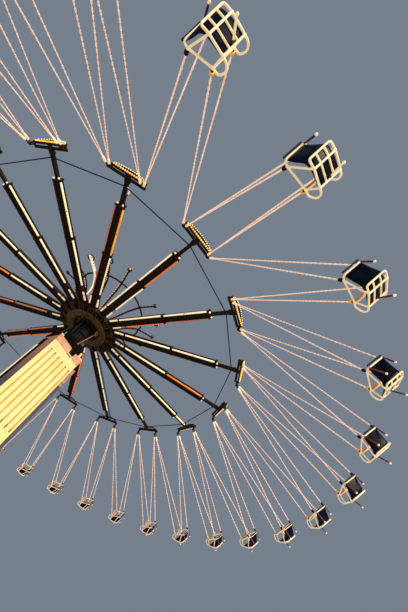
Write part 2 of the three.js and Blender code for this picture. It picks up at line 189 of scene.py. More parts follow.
def weathering() -> Tree:
    """Return the shared node group that varies a finish over its surface.

    Broad noise mixes the colour with its shade, a second stretched noise above a threshold lays
    the grime, and fine noise gives the grain's height.
    """
    known = bpy.data.node_groups.get("weathering")
    if known:
        return known
    group = bpy.data.node_groups.new("weathering", "ShaderNodeTree")
    sockets = {
        "INPUT": {"Position": "Vector", "Colour": "Color", "Shade": "Color", "Grime": "Color",
                  "Patches": "Float", "Dirt": "Float", "Roughness": "Float", "Stretch": "Vector"},
        "OUTPUT": {"Colour": "Color", "Roughness": "Float", "Height": "Float"},
    }
    for way, kinds in sockets.items():
        for name, kind in kinds.items():
            group.interface.new_socket(name, in_out=way, socket_type=f"NodeSocket{kind}")
    given = group.nodes.new("NodeGroupInput").outputs
    result = group.nodes.new("NodeGroupOutput")

    def noise(vector: Socket, scale: object, detail: float) -> Socket:
        """Add a noise read at the given position."""
        node = add_node(group, "TexNoise", {"Vector": vector, "Scale": scale, "Detail": detail})
        return node.outputs["Fac"]

    stretched = group.nodes.new("ShaderNodeVectorMath")
    stretched.operation = "MULTIPLY"
    wire(group, stretched, {0: given["Position"], 1: given["Stretch"]})
    broad = noise(given["Position"], given["Patches"], 3.0)
    spots = noise(stretched.outputs[0], SPOT_SCALE, 8.0)
    patched = mix(group, spread(group, broad, PATCH_RANGE).outputs["Result"], given["Colour"], given["Shade"])
    amount = calculate(group, "MULTIPLY", spread(group, spots, GRIME_RANGE).outputs["Result"], given["Dirt"])
    uneven = calculate(group, "MULTIPLY", broad, PATCH_ROUGHNESS)
    dull = calculate(group, "MULTIPLY", amount, GRIME_ROUGHNESS)
    wire(group, result, {
        "Colour": mix(group, amount, patched, given["Grime"]),
        "Roughness": calculate(group, "ADD", calculate(group, "ADD", given["Roughness"], uneven), dull),
        "Height": noise(given["Position"], GRAIN_SCALE, 3.0)})
    return group


STREAKS = (3.0, 3.0, 0.35)
RUST = (0.62, 0.34, 0.08)

CLADDING = Finish("cream_cladding", (0.85, 0.83, 0.42), (0.84, 0.76, 0.32), RUST, dirt=0.16, stretch=STREAKS,
                  specular=0.25)
# Painted light: the rear cream edge glows so that it stays bright on the side of the tower that the key light
# hardly reaches.
CLADDING_EDGE = Finish("cream_edge", (0.97, 0.88, 0.50), (0.94, 0.80, 0.38), RUST, dirt=0.2, stretch=STREAKS,
                       specular=0.25, glow=0.55)
GROOVE = Finish("groove_orange", (0.80, 0.36, 0.004), (0.70, 0.26, 0.004), dirt=0.25, specular=0.2)
# Painted shade: the near-black red ends of each groove stand in for the shade deep in the groove's ends.
GROOVE_PAINTED_SHADE = Finish("groove_painted_shade", (0.30, 0.07, 0.01), (0.22, 0.05, 0.01), roughness=0.6, specular=0.2)
SLOT_RED = Finish("slot_red", (0.45, 0.07, 0.03), (0.32, 0.05, 0.02), specular=0.2)
# Painted reflection: the side sheet is grey-mauve low down and turns salmon pink towards the top.
SIDE_SHEET = Finish("side_sheet", (0.70, 0.30, 0.20), (0.16, 0.12, 0.17), (0.10, 0.06, 0.06), stretch=STREAKS,
                    specular=0.2, fade=(6.2, 8.9))
ROSE_SHEET = Finish("rose_sheet", (0.60, 0.30, 0.22), (0.42, 0.20, 0.16), specular=0.2)
BLACK = Finish("black_steel", (0.004, 0.003, 0.003), (0.008, 0.006, 0.006), (0.02, 0.012, 0.008),
               roughness=0.6, specular=0.03)
GREY = Finish("grey_steel", (0.10, 0.085, 0.10), (0.07, 0.06, 0.075), (0.12, 0.06, 0.03), specular=0.3)
SALMON = Finish("salmon_cap", (0.86, 0.46, 0.28), (0.80, 0.38, 0.22), dirt=0.2, specular=0.2)
BLUE_DARK = Finish("dark_blue_box", (0.010, 0.028, 0.050), (0.008, 0.018, 0.030), roughness=0.4, specular=0.3)
ROSE_ROD = Finish("rose_rod", (0.50, 0.24, 0.17), (0.40, 0.18, 0.13), roughness=0.4)
HUB_BROWN = Finish("hub_brown", (0.160, 0.095, 0.034), (0.095, 0.054, 0.020), (0.010, 0.006, 0.003), dirt=0.5,
                   specular=0.12)
# Painted shade: near-black, far darker than the brown casting, for the ceiling of the drum's recess and the
# fins between the arms.
HUB_DEEP = Finish("hub_inside", (0.014, 0.007, 0.004), (0.030, 0.014, 0.007), (0.004, 0.002, 0.002),
                  roughness=0.6, dirt=0.5, specular=0.08)
NECK_DARK = Finish("neck_dark", (0.006, 0.006, 0.009), (0.012, 0.012, 0.018), (0.02, 0.01, 0.006),
                   roughness=0.4, specular=0.2)
ARM_DARK = Finish("arm_dark", (0.016, 0.007, 0.004), (0.028, 0.013, 0.007), (0.005, 0.003, 0.002), dirt=0.5,
                  specular=0.12)
ARM_EDGE = Finish("arm_rail", (0.024, 0.011, 0.006), (0.014, 0.007, 0.004), (0.005, 0.003, 0.002), dirt=0.5,
                  specular=0.12)
# The glowing strips are part lamp light and part painted sunlight; the strips on each arm's sunlit side take
# these.
STRIP_CREAM = Finish("strip_cream", (1.0, 0.86, 0.55), (1.0, 0.76, 0.40), (0.6, 0.30, 0.10), roughness=0.3,
                     dirt=0.1, patch=0.7, glow=0.62)
STRIP_ORANGE = Finish("strip_orange", (1.0, 0.13, 0.01), (0.95, 0.26, 0.02), (0.4, 0.08, 0.02), roughness=0.3,
                      dirt=0.12, patch=0.7, glow=0.45)
STRIP_GOLD = Finish("strip_gold", (1.0, 0.55, 0.05), (1.0, 0.30, 0.02), (0.4, 0.08, 0.02), roughness=0.3,
                    dirt=0.12, patch=0.7, glow=0.45)
STRIP_PINK = Finish("strip_pink", (0.80, 0.28, 0.17), (0.68, 0.18, 0.10), (0.4, 0.1, 0.05), roughness=0.3,
                    dirt=0.12, patch=0.7, glow=0.15)
# Painted shade: a near-black strip for the side of an arm that faces away from the key light.
STRIP_PAINTED_SHADE = Finish("strip_painted_shade", (0.055, 0.022, 0.014), (0.08, 0.03, 0.018), roughness=0.4, specular=0.2)
BULB_AMBER = Finish("bulb_amber", (1.0, 0.44, 0.015), (0.98, 0.32, 0.008), roughness=0.3, dirt=0.0, glow=0.9,
                    specular=0.2)
BULB_WHITE = Finish("bulb_white", (1.0, 0.85, 0.55), (1.0, 0.75, 0.40), roughness=0.25, dirt=0.0, glow=0.8)
BULB_PINK = Finish("bulb_pink", (0.75, 0.10, 0.12), (0.6, 0.07, 0.09), roughness=0.25, dirt=0.0, glow=0.15)
STEM = Finish("stem_black", (0.010, 0.005, 0.005), (0.022, 0.010, 0.008), roughness=0.45, specular=0.15)
# Painted light: the pale stem glows, though it is no lamp.
STEM_PALE = Finish("stem_cream", (1.0, 0.90, 0.66), (1.0, 0.80, 0.55), roughness=0.4, dirt=0.1, glow=0.6)
LADDER_BLUE = Finish("ladder_blue", (0.03, 0.12, 0.30), (0.02, 0.08, 0.20), roughness=0.4)
CABLE = Finish("stay_cable", (0.006, 0.018, 0.040), (0.008, 0.025, 0.050), dirt=0.2, specular=0.2)
# Painted light: the pale chains and couplings glow to look sunlit, though they are no lamps.
CHAIN = Finish("pale_chain", (1.0, 0.78, 0.58), (0.98, 0.62, 0.46), (0.5, 0.24, 0.14), roughness=0.4,
               dirt=0.12, patch=4.0, glow=0.45)
COUPLING = Finish("pale_coupling", (1.0, 0.80, 0.54), (0.97, 0.68, 0.40), roughness=0.35, dirt=0.15, glow=0.5)
# Painted light: the chair frames glow, standing for sunlight and their white highlights.
FRAME_CREAM = Finish("chair_cream", (1.0, 0.82, 0.52), (1.0, 0.72, 0.40), (0.5, 0.22, 0.08), roughness=0.32,
                     coat=0.3, dirt=0.12, patch=5.0, glow=0.38)
SHELL_NAVY = Finish("shell_navy", (0.002, 0.004, 0.010), (0.003, 0.008, 0.020), (0.012, 0.007, 0.006),
                    roughness=0.16, dirt=0.15, patch=4.0, bump=0.04, specular=0.045)
# Painted light: a faint glow on the lap bars, which are no lamps.
LAP_ORANGE = Finish("lap_bar_orange", (0.95, 0.36, 0.03), (0.85, 0.26, 0.02), roughness=0.35, coat=0.3,
                    glow=0.1)
PAD_BLUE = Finish("pad_blue", (0.004, 0.018, 0.060), (0.003, 0.010, 0.035), roughness=0.4, specular=0.1)
RUST_RED = Finish("rod_red", (0.30, 0.045, 0.015), (0.16, 0.020, 0.010), roughness=0.45)
MAROON = Finish("rod_maroon", (0.16, 0.022, 0.022), (0.11, 0.014, 0.02), roughness=0.4, dirt=0.2)
# Painted light: the shackle covers glow, though they are no lamps.
YELLOW = Finish("shackle_yellow", (1.0, 0.55, 0.01), (1.0, 0.42, 0.01), roughness=0.4, dirt=0.1, glow=0.3)
RUBBER = Finish("black_rubber", (0.006, 0.005, 0.006), (0.010, 0.009, 0.010), roughness=0.6, dirt=0.2,
                specular=0.1)
PALE_FLOOR = Finish("pale_floor", (0.78, 0.77, 0.75), (0.74, 0.73, 0.71), (0.6, 0.6, 0.6), roughness=0.8,
                    dirt=0.1, bump=0.0)


# Shaping


def xyz(x: Array | float, y: Array | float, z: Array | float) -> Array:
    """Stack three coordinates, each a number or an array, into points."""
    return np.stack(np.broadcast_arrays(x, y, z), -1).astype(float)


def signed_volume(points: Array, quads: Array, caps: Array) -> float:
    """Sum the triple products of a body's triangles: six times its volume, positive if they face outwards."""
    triangles = np.vstack([quads[:, :3], quads[:, [0, 2, 3]], caps])
    a, b, c = ((points - points.mean(0))[triangles[:, i]] for i in range(3))
    return np.einsum("ij,ij->i", a, np.cross(b, c)).sum()


class Form:
    """Points and faces of a piece while it is being shaped."""

    def __init__(self) -> None:
        """Start with nothing."""
        self.points: list[Array] = []
        self.blocks: list[tuple[Array, Finish]] = []
        self.count = 0

    def add(self, points: Array, blocks: list[tuple[Array, Finish]]) -> "Form":
        """Add points with their faces.

        Args:
            points: One row for each point.
            blocks: Faces as rows of point numbers, each block with its finish.

        Returns:
            The form itself.
        """
        self.points.append(np.asarray(points, float))
        self.blocks += [(faces + self.count, finish) for faces, finish in blocks]
        self.count += len(points)
        return self

    def loft(self, rings: Array, finish: Finish, closed: bool = False) -> "Form":
        """Join a row of rings into a closed body, its faces turned outwards.

        Args:
            rings: Array of stations, points round each station, and three coordinates.
            finish: The body's finish.
            closed: True where the last ring meets the first; otherwise both ends get a cap.

        Returns:
            The form itself.
        """
        stations, around = rings.shape[:2]
        index = np.arange(stations * around).reshape(stations, around)
        near = index if closed else index[:-1]
        far = np.roll(index, -1, 0) if closed else index[1:]
        quads = np.stack([near, np.roll(near, -1, 1), np.roll(far, -1, 1), far], -1).reshape(-1, 4)
        points = rings.reshape(-1, 3)
        caps = np.empty((0, 3), int)
        if not closed:
            middle = np.full(around, stations * around)
            points = np.vstack([points, rings[0].mean(0), rings[-1].mean(0)])
            caps = np.vstack([np.stack([np.roll(index[0], -1), index[0], middle], -1),
                              np.stack([index[-1], np.roll(index[-1], -1), middle + 1], -1)])
        if signed_volume(points, quads, caps) < 0:
            quads, caps = quads[:, ::-1], caps[:, ::-1]
        return self.add(points, [(quads, finish)] + ([(caps, finish)] if len(caps) else []))

    def tube(self, path: Array | list, radius: float | Array | tuple, finish: Finish, sides: int = 8,
             closed: bool = False) -> "Form":
        """Carry a circle along a straight or nearly flat path.

        The circle's axes are the cross product of the path's direction with the normal of the
        path's best plane, and the cross product of those two.
        """
        path = np.asarray(path, float)
        along = np.roll(path, -1, 0) - np.roll(path, 1, 0) if closed else np.gradient(path, axis=0)
        along /= np.linalg.norm(along, axis=1, keepdims=True)
        normal = np.linalg.svd(path - path.mean(0))[2][-1]
        side = np.cross(along, normal)
        side /= np.linalg.norm(side, axis=1, keepdims=True)
        rise = np.cross(side, along)
        turn = (np.arange(sides) * 2 * math.pi / sides + math.pi / sides)[:, None]
        reach = np.broadcast_to(np.asarray(radius, float), (len(path),))[:, None, None]
        circle = np.cos(turn) * side[:, None] + np.sin(turn) * rise[:, None]
        return self.loft(path[:, None] + reach * circle, finish, closed)

    def block(self, low: Point, high: Point, finish: Finish, chamfer: float = 0.005) -> "Form":
        """A box between two corners with all its edges cut off at 45 degrees."""
        low, high = np.array(low, float), np.array(high, float)
        middle, half = (low + high) / 2, (high - low) / 2
        cut = min(chamfer, half.min() * 0.45)
        levels = []
        for height, inset in ((-half[2], cut), (cut - half[2], 0), (half[2] - cut, 0), (half[2], cut)):
            x, y = half[0] - inset, half[1] - inset
            levels.append([
                (x, y - cut, height), (x - cut, y, height), (cut - x, y, height), (-x, y - cut, height),
                (-x, cut - y, height), (cut - x, -y, height), (x - cut, -y, height), (x, cut - y, height),
            ])
        return self.loft(np.array(levels) + middle, finish)

    def pair(self, low: Point, high: Point, finish: Finish, chamfer: float, axis: Array = Y) -> "Form":
        """Two boxes that mirror each other along one axis."""
        for mirror in (1 - 2 * axis, np.ones(3)):
            corners = np.array((low, high)) * mirror
            self.block(corners.min(0), corners.max(0), finish, chamfer)
        return self

    def turned(self, profile: list[tuple[float, float]], finish: Finish, sides: int = 48,
               closed: bool = False) -> "Form":
        """Turn a profile of radius and height about the Z axis."""
        radius, height = np.array(profile, float).T[:, :, None]
        angle = np.arange(sides) * 2 * math.pi / sides
        return self.loft(xyz(radius * np.cos(angle), radius * np.sin(angle), height), finish, closed)

    def sheet(self, outer: Array, inner: Array, finish: Finish) -> "Form":
        """Close two matching grids of points into a thin curved sheet."""
        rows, columns = outer.shape[:2]
        index = np.arange(rows * columns).reshape(rows, columns)
        grid = np.stack([index[:-1, :-1], index[1:, :-1], index[1:, 1:], index[:-1, 1:]], -1).reshape(-1, 4)
        border = np.concatenate([index[0, :-1], index[:-1, -1], index[-1, :0:-1], index[:0:-1, 0]])
        following = np.roll(border, -1)
        rim = np.stack([border, following, following + rows * columns, border + rows * columns], -1)
        faces = np.vstack([grid, (grid + rows * columns)[:, ::-1], rim])
        points = np.vstack([outer.reshape(-1, 3), inner.reshape(-1, 3)])
        outwards = signed_volume(points, faces, faces[:0, :3]) > 0
        return self.add(points, [(faces if outwards else faces[:, ::-1], finish)])

    def scatter(self, unit: "Form", places: Array) -> "Form":
        """Add a copy of another form at each place, given as 4 by 4 matrices."""
        points = np.concatenate(unit.points)
        moved = np.einsum("mij,nj->mni", places[:, :3, :3], points) + places[:, None, :3, 3]
        offset = (np.arange(len(places)) * len(points))[:, None, None]
        blocks = [((faces + offset).reshape(-1, faces.shape[1]), finish) for faces, finish in unit.blocks]
        return self.add(moved.reshape(-1, 3), blocks)

    def piece(self, name: str, body: str, slot: str, replaces: str = "") -> bpy.types.Object:
        """Make the mesh object, let it ride on its body and log it.

        Args:
            name: The piece's name.
            body: The CAD body that it rides on.
            slot: The record's material slot; not used.
            replaces: The CAD node that it stands for, if any.

        Returns:
            The new object.
        """
        finishes = list(dict.fromkeys(finish for _, finish in self.blocks))
        mesh = bpy.data.meshes.new(name)
        points = np.concatenate(self.points).astype(np.float32)
        loops = np.concatenate([faces.ravel() for faces, _ in self.blocks])
        sizes = np.concatenate([np.full(len(faces), faces.shape[1]) for faces, _ in self.blocks])
        marks = np.concatenate([np.full(len(faces), finishes.index(finish)) for faces, finish in self.blocks])
        mesh.vertices.add(len(points))
        mesh.vertices.foreach_set("co", points.ravel())
        mesh.loops.add(len(loops))
        mesh.loops.foreach_set("vertex_index", loops.astype(np.int32))
        mesh.polygons.add(len(sizes))
        mesh.polygons.foreach_set("loop_start", (np.cumsum(sizes) - sizes).astype(np.int32))
        for finish in finishes:
            mesh.materials.append(finish.material())
        mesh.polygons.foreach_set("material_index", marks.astype(np.int32))
        mesh.polygons.foreach_set("use_smooth", np.ones(len(sizes), bool))
        mesh.update(calc_edges=True)
        mesh.validate()
        mesh.set_sharp_from_angle(angle=SHARP_ANGLE)
        made = bpy.data.objects.new(name, mesh)
        bpy.context.scene.collection.objects.link(made)
        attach(made, body)
        if replaces:
            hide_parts(replaces)
        LOG.info("%s: %d faces", name, len(sizes))
        return made


def placed(form: Form, place: Array) -> Form:
    """Return a copy of a form moved by one 4 by 4 matrix."""
    return Form().scatter(form, place[None])


def lifted(form: Form, height: float) -> Form:
    """Return a copy of a form at another height."""
    return placed(form, shifts(height * Z)[0])


def turn_z(angles: Array | list[float]) -> Array:
    """Return 4 by 4 matrices that turn about the Z axis."""
    angles = np.atleast_1d(np.asarray(angles, float))
    made = np.zeros((len(angles), 4, 4))
    made[:, 0, 0] = made[:, 1, 1] = np.cos(angles)
    made[:, 1, 0] = np.sin(angles)
    made[:, 0, 1] = -np.sin(angles)
    made[:, 2, 2] = made[:, 3, 3] = 1
    return made


def around(count: int, start: float = 0.0) -> Array:
    """Return 4 by 4 matrices that turn about the Z axis in equal steps of one full turn."""
    return turn_z(start + np.arange(count) * 2 * math.pi / count)


def shifts(points: Array | list) -> Array:
    """Return 4 by 4 matrices that only move."""
    points = np.asarray(points, float).reshape(-1, 3)
    made = np.repeat(np.eye(4)[None], len(points), 0)
    made[:, :3, 3] = points
    return made


def tipped(form: Form, degrees: float) -> Form:
    """Return a copy of a form turned about the X axis."""
    return placed(form, np.array(Matrix.Rotation(math.radians(degrees), 4, "X")))


def rounded(corners: list[Point], radius: float, steps: int, closed: bool = False) -> Array:
    """Round each corner of a path with a parabola that starts and ends the radius away from it."""
    points = np.array(corners, float)
    if closed:
        points = np.vstack([points[-1], points, points[0]])
    pieces = [] if closed else [points[:1]]
    t = np.linspace(0, 1, steps)[:, None]
    for before, corner, after in zip(points[:-2], points[1:-1], points[2:]):
        back, ahead = before - corner, after - corner
        start = corner + back * min(0.5, radius / np.linalg.norm(back))
        end = corner + ahead * min(0.5, radius / np.linalg.norm(ahead))
        pieces.append((1 - t) ** 2 * start + 2 * t * (1 - t) * corner + t**2 * end)
    if not closed:
        pieces.append(points[-1:])
    path = np.vstack(pieces)
    keep = np.linalg.norm(np.roll(path, -1, 0) - path, axis=1) > 1e-6
    keep[-1] = True
    return path[keep]


def smooth_path(points: list[Point], steps: int) -> Array:
    """Carry a Catmull-Rom curve through a few points, evenly stepped between each pair."""
    p = np.array(points, float)
    p = np.vstack([2 * p[0] - p[1], p, 2 * p[-1] - p[-2]])
    t = np.linspace(0, 1, steps, endpoint=False)[None, :, None]
    a, b, c, d = (p[i:len(p) - 3 + i][:, None] for i in range(4))
    curve = 0.5 * (2 * b + (c - a) * t + (2 * a - 5 * b + 4 * c - d) * t**2 + (3 * b - a - 3 * c + d) * t**3)
    return np.vstack([curve.reshape(-1, 3), p[-2]])


def lamp(radius: float, finish: Finish, sides: int = 6, levels: int = 4) -> Form:
    """A small bulb or knob as a ball of few faces."""
    angles = np.linspace(-1.1, 1.1, levels)
    return Form().turned([(radius * math.cos(a), radius * math.sin(a)) for a in angles], finish, sides)


def hexagon_head(radius: float, height: float, finish: Finish) -> Form:
    """A bolt head that stands up from its foot at the origin."""
    return Form().turned([(radius, 0), (radius, height * 0.8), (radius * 0.85, height)], finish, 6)


# Tower


@dataclass
class Tower:
    """The clad mast with its foot, cap, neck and drive."""

    half: float = 0.75
    depth: float = 1.15
    skin: float = 0.06
    groove_xs: tuple[float, ...] = (-0.54, -0.305, -0.07, 0.17, 0.42, 0.645)
    groove_spans: tuple[tuple[float, float], ...] = ((1.46, 4.70), (5.28, 8.52))
    groove_half: float = 0.024
    groove_depth: float = 0.030
    groove_edge: float = 0.006
    # Length of the painted shade at the lower end of each groove; the upper end takes half of it.
    dark_end: float = 0.16
    foot: float = 0.0603
    panel_top: float = TOWER_TOP - 0.0003

    def front_panel(self) -> None:
        """Front channel: a face with sunk grooves, and a return along each side.

        The face is a grid whose columns and rows stand on the grooves' edges; a point inside a
        groove lies back by the groove's depth.
        """
        half, top, face, margin, tiny = self.half, self.panel_top, -self.depth / 2, 0.012, 1e-6
        wide, edge, dark = self.groove_half, self.groove_edge, self.dark_end
        low, high = np.transpose(self.groove_spans)
        columns = np.add.outer(self.groove_xs, (-wide - edge, -wide, 0, wide, wide + edge))
        rows = np.stack([low - edge, low, low + dark, high - dark * 0.5, high, high + edge])
        xs = np.sort([margin - half, half - margin, *columns.ravel()])
        zs = np.sort([self.foot + margin, top - margin, *rows.ravel()])
        gx, gz = np.meshgrid(xs, zs, indexing="ij")
        in_column = np.abs(gx[..., None] - self.groove_xs).min(-1) <= wide + tiny
        in_row = ((gz[..., None] >= low - tiny) & (gz[..., None] <= high + tiny)).any(-1)
        outer = xyz(gx, face + self.groove_depth * (in_column & in_row), gz)
        form = Form().sheet(outer, xyz(gx, face + self.skin - 0.002, gz), CLADDING)
        faces = form.blocks[0][0]
        corners = form.points[0][faces]
        back = corners[..., 1] - face
        floor = ((back > self.groove_depth * 0.6) & (back < self.skin * 0.6)).all(1)
        # Groove floors near each end take the near-black finish: painted shade of the groove's ends.
        middle = corners[..., 2].mean(1)[:, None]
        near_end = ((middle > low) & (middle < low + dark)) | ((middle < high) & (middle > high - dark * 0.5))
        ends = floor & near_end.any(1)
        form.blocks = [(faces[~floor], CLADDING), (faces[floor & ~ends], GROOVE), (faces[ends], GROOVE_PAINTED_SHADE)]
        for x0, x1, y0, y1, finish, cut in (
            (half - 0.014, half, 0, 0.045, CLADDING, 0.006),
            (half - self.skin, half - 0.002, 0.105, 0.67, SIDE_SHEET, 0.006),
            (half - self.skin, half - 0.006, 0.04, 0.11, BLACK, 0.002),
        ):
            form.pair((x0, face + y0, self.foot), (x1, face + y1, top), finish, cut, X)
        for z in (self.foot, top - margin):
            start, end = (0.01 - half, face + 0.001, z), (half - 0.01, face + self.skin, z + margin)
            form.block(start, end, CLADDING, 0.002)
        form.piece("front_panel", "tower", "cream_cladding", "front_cladding")

    def rear_panel(self) -> None:
        """Rear channel with a shallow return on each side and upright seams on its face."""
        half, top, face = self.half, self.panel_top, self.depth / 2
        form = Form()
        edges = np.linspace(-half, half, 5)
        for low, high in zip(edges[:-1], edges[1:]):
            form.block((low + 0.001, face - self.skin, self.foot), (high - 0.001, face, top), CLADDING, 0.008)
        seam = self.skin + 0.001
        # The cream edge glows: painted light on the shaded side.
        for y0, y1, z0, z1, finish in (
            (0.19, seam, self.foot, top - 0.40, CLADDING_EDGE), (0.27, 0.191, self.foot, top - 0.40, BLACK),
            (0.27, seam, top - 0.399, top, BLACK),
        ):
            form.pair((half - self.skin, face - y0, z0), (half, face - y1, z1), finish, 0.008, X)
        form.piece("rear_panel", "tower", "cream_cladding", "rear_cladding")

    def seams(self) -> None:
        """Black core posts and cross ties that show in the recess on each side."""
        form, inside = Form(), 0.6003
        for y in (0.102, 0.248):
            form.pair((inside, y, 0.2), (0.742, y + 0.05, TOWER_TOP - 0.02), BLACK, 0.004, X)
        tie = Form().pair((inside, 0.15, -0.20), (0.730, 0.25, 0.32), BLACK, 0.004, X)
        form.scatter(tie, shifts(np.outer(np.arange(0.5, TOWER_TOP - 0.3, 0.6), Z)))
        form.piece("recess_ties", "tower", "black_steel")

    def cap(self) -> None:
        """Salmon blocks on the cap's front with a dark box between them, and the black side bracket."""
        face, top = -self.depth / 2, TOWER_TOP
        form = Form()
        boxes = [
            (0.045, 0.305, -0.045, -0.0005, -0.10, 0.19, BLUE_DARK, 0.012),
            (0.07, 0.28, -0.052, -0.044, -0.07, 0.16, BLACK, 0.004),
            (0.00, 0.30, -0.008, -0.0005, -0.215, -0.16, SLOT_RED, 0.003),
            (0.50, 0.56, -0.02, 0.05, 0.206, 0.40, COUPLING, 0.008),
        ]
        for x0, x1 in ((-0.755, 0.02), (0.33, 0.755)):
            boxes += [(x0, x1, -0.014, -0.0005, -0.19, 0.205, SALMON, 0.008),
                      (x0 + 0.01, x1 - 0.01, -0.020, -0.012, 0.165, 0.195, COUPLING, 0.003)]
        for x0, x1, y0, y1, z0, z1, finish, cut in boxes:
            form.block((x0, face + y0, top + z0), (x1, face + y1, top + z1), finish, cut)
        form.tube([(0.53, face + 0.015, top + 0.37), (0.30, face + 0.015, top + 0.22)], 0.018, COUPLING)
        spots = [(x, face - 0.014, z) for x in (-0.70, -0.36, -0.04, 0.39, 0.70)
                 for z in (top - 0.14, top + 0.10)]
        form.scatter(tipped(hexagon_head(0.018, 0.012, GREY), 90), shifts(spots))
        form.pair((0.615, 0.11, top - 0.42), (0.742, 0.56, top - 0.002), BLACK, 0.02, X)
        levels = (
            (0.151, 0.742, 0.50, 0.02, 0.56), (0.30, 0.742, 0.50, 0.02, 0.54), (0.62, 0.68, 0.48, 0.02, 0.44),
            (1.00, 0.59, 0.455, 0.04, 0.26), (1.05, 0.57, 0.46, 0.06, 0.22),
        )
        for side in (-1, 1):
            rings = [[(side * x, y, top + z) for x, y in ((outer, y0), (inner, y0), (inner, y1), (outer, y1))]
                     for z, outer, inner, y0, y1 in levels]
            form.loft(np.array(rings), BLACK)
            for path, radius, finish, sides in (
                (((0.70, 0.10, 0.20), (0.52, -0.02, 1.02)), 0.028, BLUE_DARK, 10),
                (((0.735, 0.34, -0.30), (0.74, 0.30, 0.35), (0.60, 0.14, 1.0)), 0.020, RUBBER, 8),
            ):
                form.tube([(side * x, y, top + z) for x, y, z in path], radius, finish, sides)
        form.piece("cap_fittings", "tower", "salmon_cap")

    def duct(self) -> None:
        """Clips and lids along the duct at the right-hand front edge."""
        low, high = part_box("cable_duct")
        form = Form()
        clip = Form().block((low.x + 0.002, low.y - 0.006, 0), (high.x + 0.006, high.y + 0.006, 0.05), GREY,
                            0.004)
        form.scatter(clip, shifts(np.outer(np.arange(low.z + 0.25, high.z - 0.1, 0.9), Z)))
        for inset, y0, y1, z0, z1, finish in (
            (0.02, 0.004, 0.002, low.z + 0.05, high.z - 1.1, GREY),
            (0.004, 0.005, 0.003, high.z - 1.0, high.z - 0.02, ROSE_SHEET),
        ):
            form.block((low.x + inset, low.y - y0, z0), (high.x - inset, low.y + y1, z1), finish, 0.002)
        form.piece("duct_clips", "tower", "grey_steel")

    def foot_bolts(self) -> None:
        """Anchor bolts, nuts and washers round the flange."""
        low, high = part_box("base_flange")
        nut = hexagon_head(0.032, 0.03, GREY)
        nut.turned([(0.05, 0.0), (0.05, 0.006)], GREY, 16)
        nut.turned([(0.016, 0.0), (0.016, 0.06), (0.012, 0.066)], GREY, 10)
        inset = 0.09
        xs = np.linspace(low.x + inset, high.x - inset, 5)
        ys = np.linspace(low.y + inset, high.y - inset, 4)
        spots = [(x, y, 0.0601) for x in xs for y in ys if x in (xs[0], xs[-1]) or y in (ys[0], ys[-1])]
        Form().scatter(nut, shifts(spots)).piece("anchor_bolts", "tower", "grey_steel")

    def neck(self) -> None:
        """Neck with a foot flange, stiffening bars, rings, bolts and hoses, shaped above the deck."""
        top = HOOK_HEIGHT + 0.2197 - DECK
        form = Form()
        form.turned([(0.49, 0), (0.50, 0.01), (0.50, 0.07), (0.49, 0.08), (0.415, 0.085), (0.41, 0.10),
                     (0.41, top - 0.16), (0.43, top - 0.14), (0.455, top - 0.09), (0.455, top)],
                    NECK_DARK, 64)
        form.scatter(Form().block((0.40, -0.010, 0.08), (0.49, 0.010, 0.32), BLACK, 0.003), around(16))
        bar = Form().block((0.40, -0.022, 0.10), (0.432, 0.022, top - 0.12), BLACK, 0.006)
        form.scatter(bar, around(20, 0.07))
        bolt = placed(hexagon_head(0.016, 0.02, GREY), shifts([(0.465, 0, 0.081)])[0])
        form.scatter(bolt, around(24, 0.1))
        for z in (0.5, 0.95, 1.3):
            ring = [(0.405, z), (0.445, z), (0.445, z + 0.045), (0.405, z + 0.045)]
            form.turned(ring, BLACK, 64, closed=True)
        hoses = ((-2.62, BLUE_DARK), (-2.48, RUBBER), (-2.2, BLUE_DARK), (-1.0, RUBBER), (-0.85, BLUE_DARK))
        for angle, finish in hoses:
            x, y = 0.462 * math.cos(angle), 0.462 * math.sin(angle)
            path = [(x, y, 0.1), (x, y, 0.8), (x * 1.05, y * 1.05, 1.2), (x, y, top - 0.2)]
            form.tube(smooth_path(path, 6), 0.02, finish)
        lifted(form, DECK).piece("neck_column", "tower", "black_steel", "hub_neck")

    def drive(self) -> None:
        """Drive housing with lids, vents and a gearbox, and the torque rod with its ring."""
        top = DECK + 0.33
        form = Form()
        for x0, x1, y0, y1, z0, z1, cut in (
            (-0.62, 0.44, -0.635, -0.516, DECK, top, 0.015),
            (-0.60, -0.10, -0.641, -0.634, DECK + 0.03, top - 0.03, 0.003),
            (-0.06, 0.42, -0.641, -0.634, DECK + 0.03, top - 0.03, 0.003),
            (0.12, 0.42, -0.54, -0.446, DECK + 0.10, top + 0.16, 0.02),
        ):
            form.block((x0, y0, z0), (x1, y1, z1), BLACK, cut)
        slat = Form().block((-0.54, -0.648, 0), (-0.16, -0.640, 0.012), BLACK, 0.003)
        form.scatter(slat, shifts(np.outer(DECK + 0.06 + np.arange(7) * 0.03, Z)))
        motor = Form().turned([(0.06, 0), (0.07, 0.01), (0.07, 0.14), (0.055, 0.16)], GREY, 24)
        form.scatter(motor, shifts([(0.27, -0.50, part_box("drive_housing")[1].z - 0.001)]))
        form.piece("drive_box", "tower", "black_steel", "drive_housing")
        rod = Form()
        foot, eye = np.array((0.06, -0.56, top + 0.0003)), np.array((0.33, -0.60, HOOK_HEIGHT - 0.13))
        rod.block(foot - (0.06, 0.035, 0), foot + (0.06, 0.035, 0.04), ROSE_ROD, 0.006)
        length = np.linalg.norm(eye - foot)
        share = np.array([0.02, 0.2, 0.24, 0.8, 0.84, 1.0])[:, None]
        rod.tube(foot + share * (length - 0.09) * ((eye - foot) / length),
                 (0.017, 0.017, 0.022, 0.022, 0.017, 0.017), ROSE_ROD, 12)
        angle = np.linspace(0, 2 * math.pi, 28, endpoint=False)
        turn = np.array(Matrix.Rotation(math.radians(30), 3, "Z"))
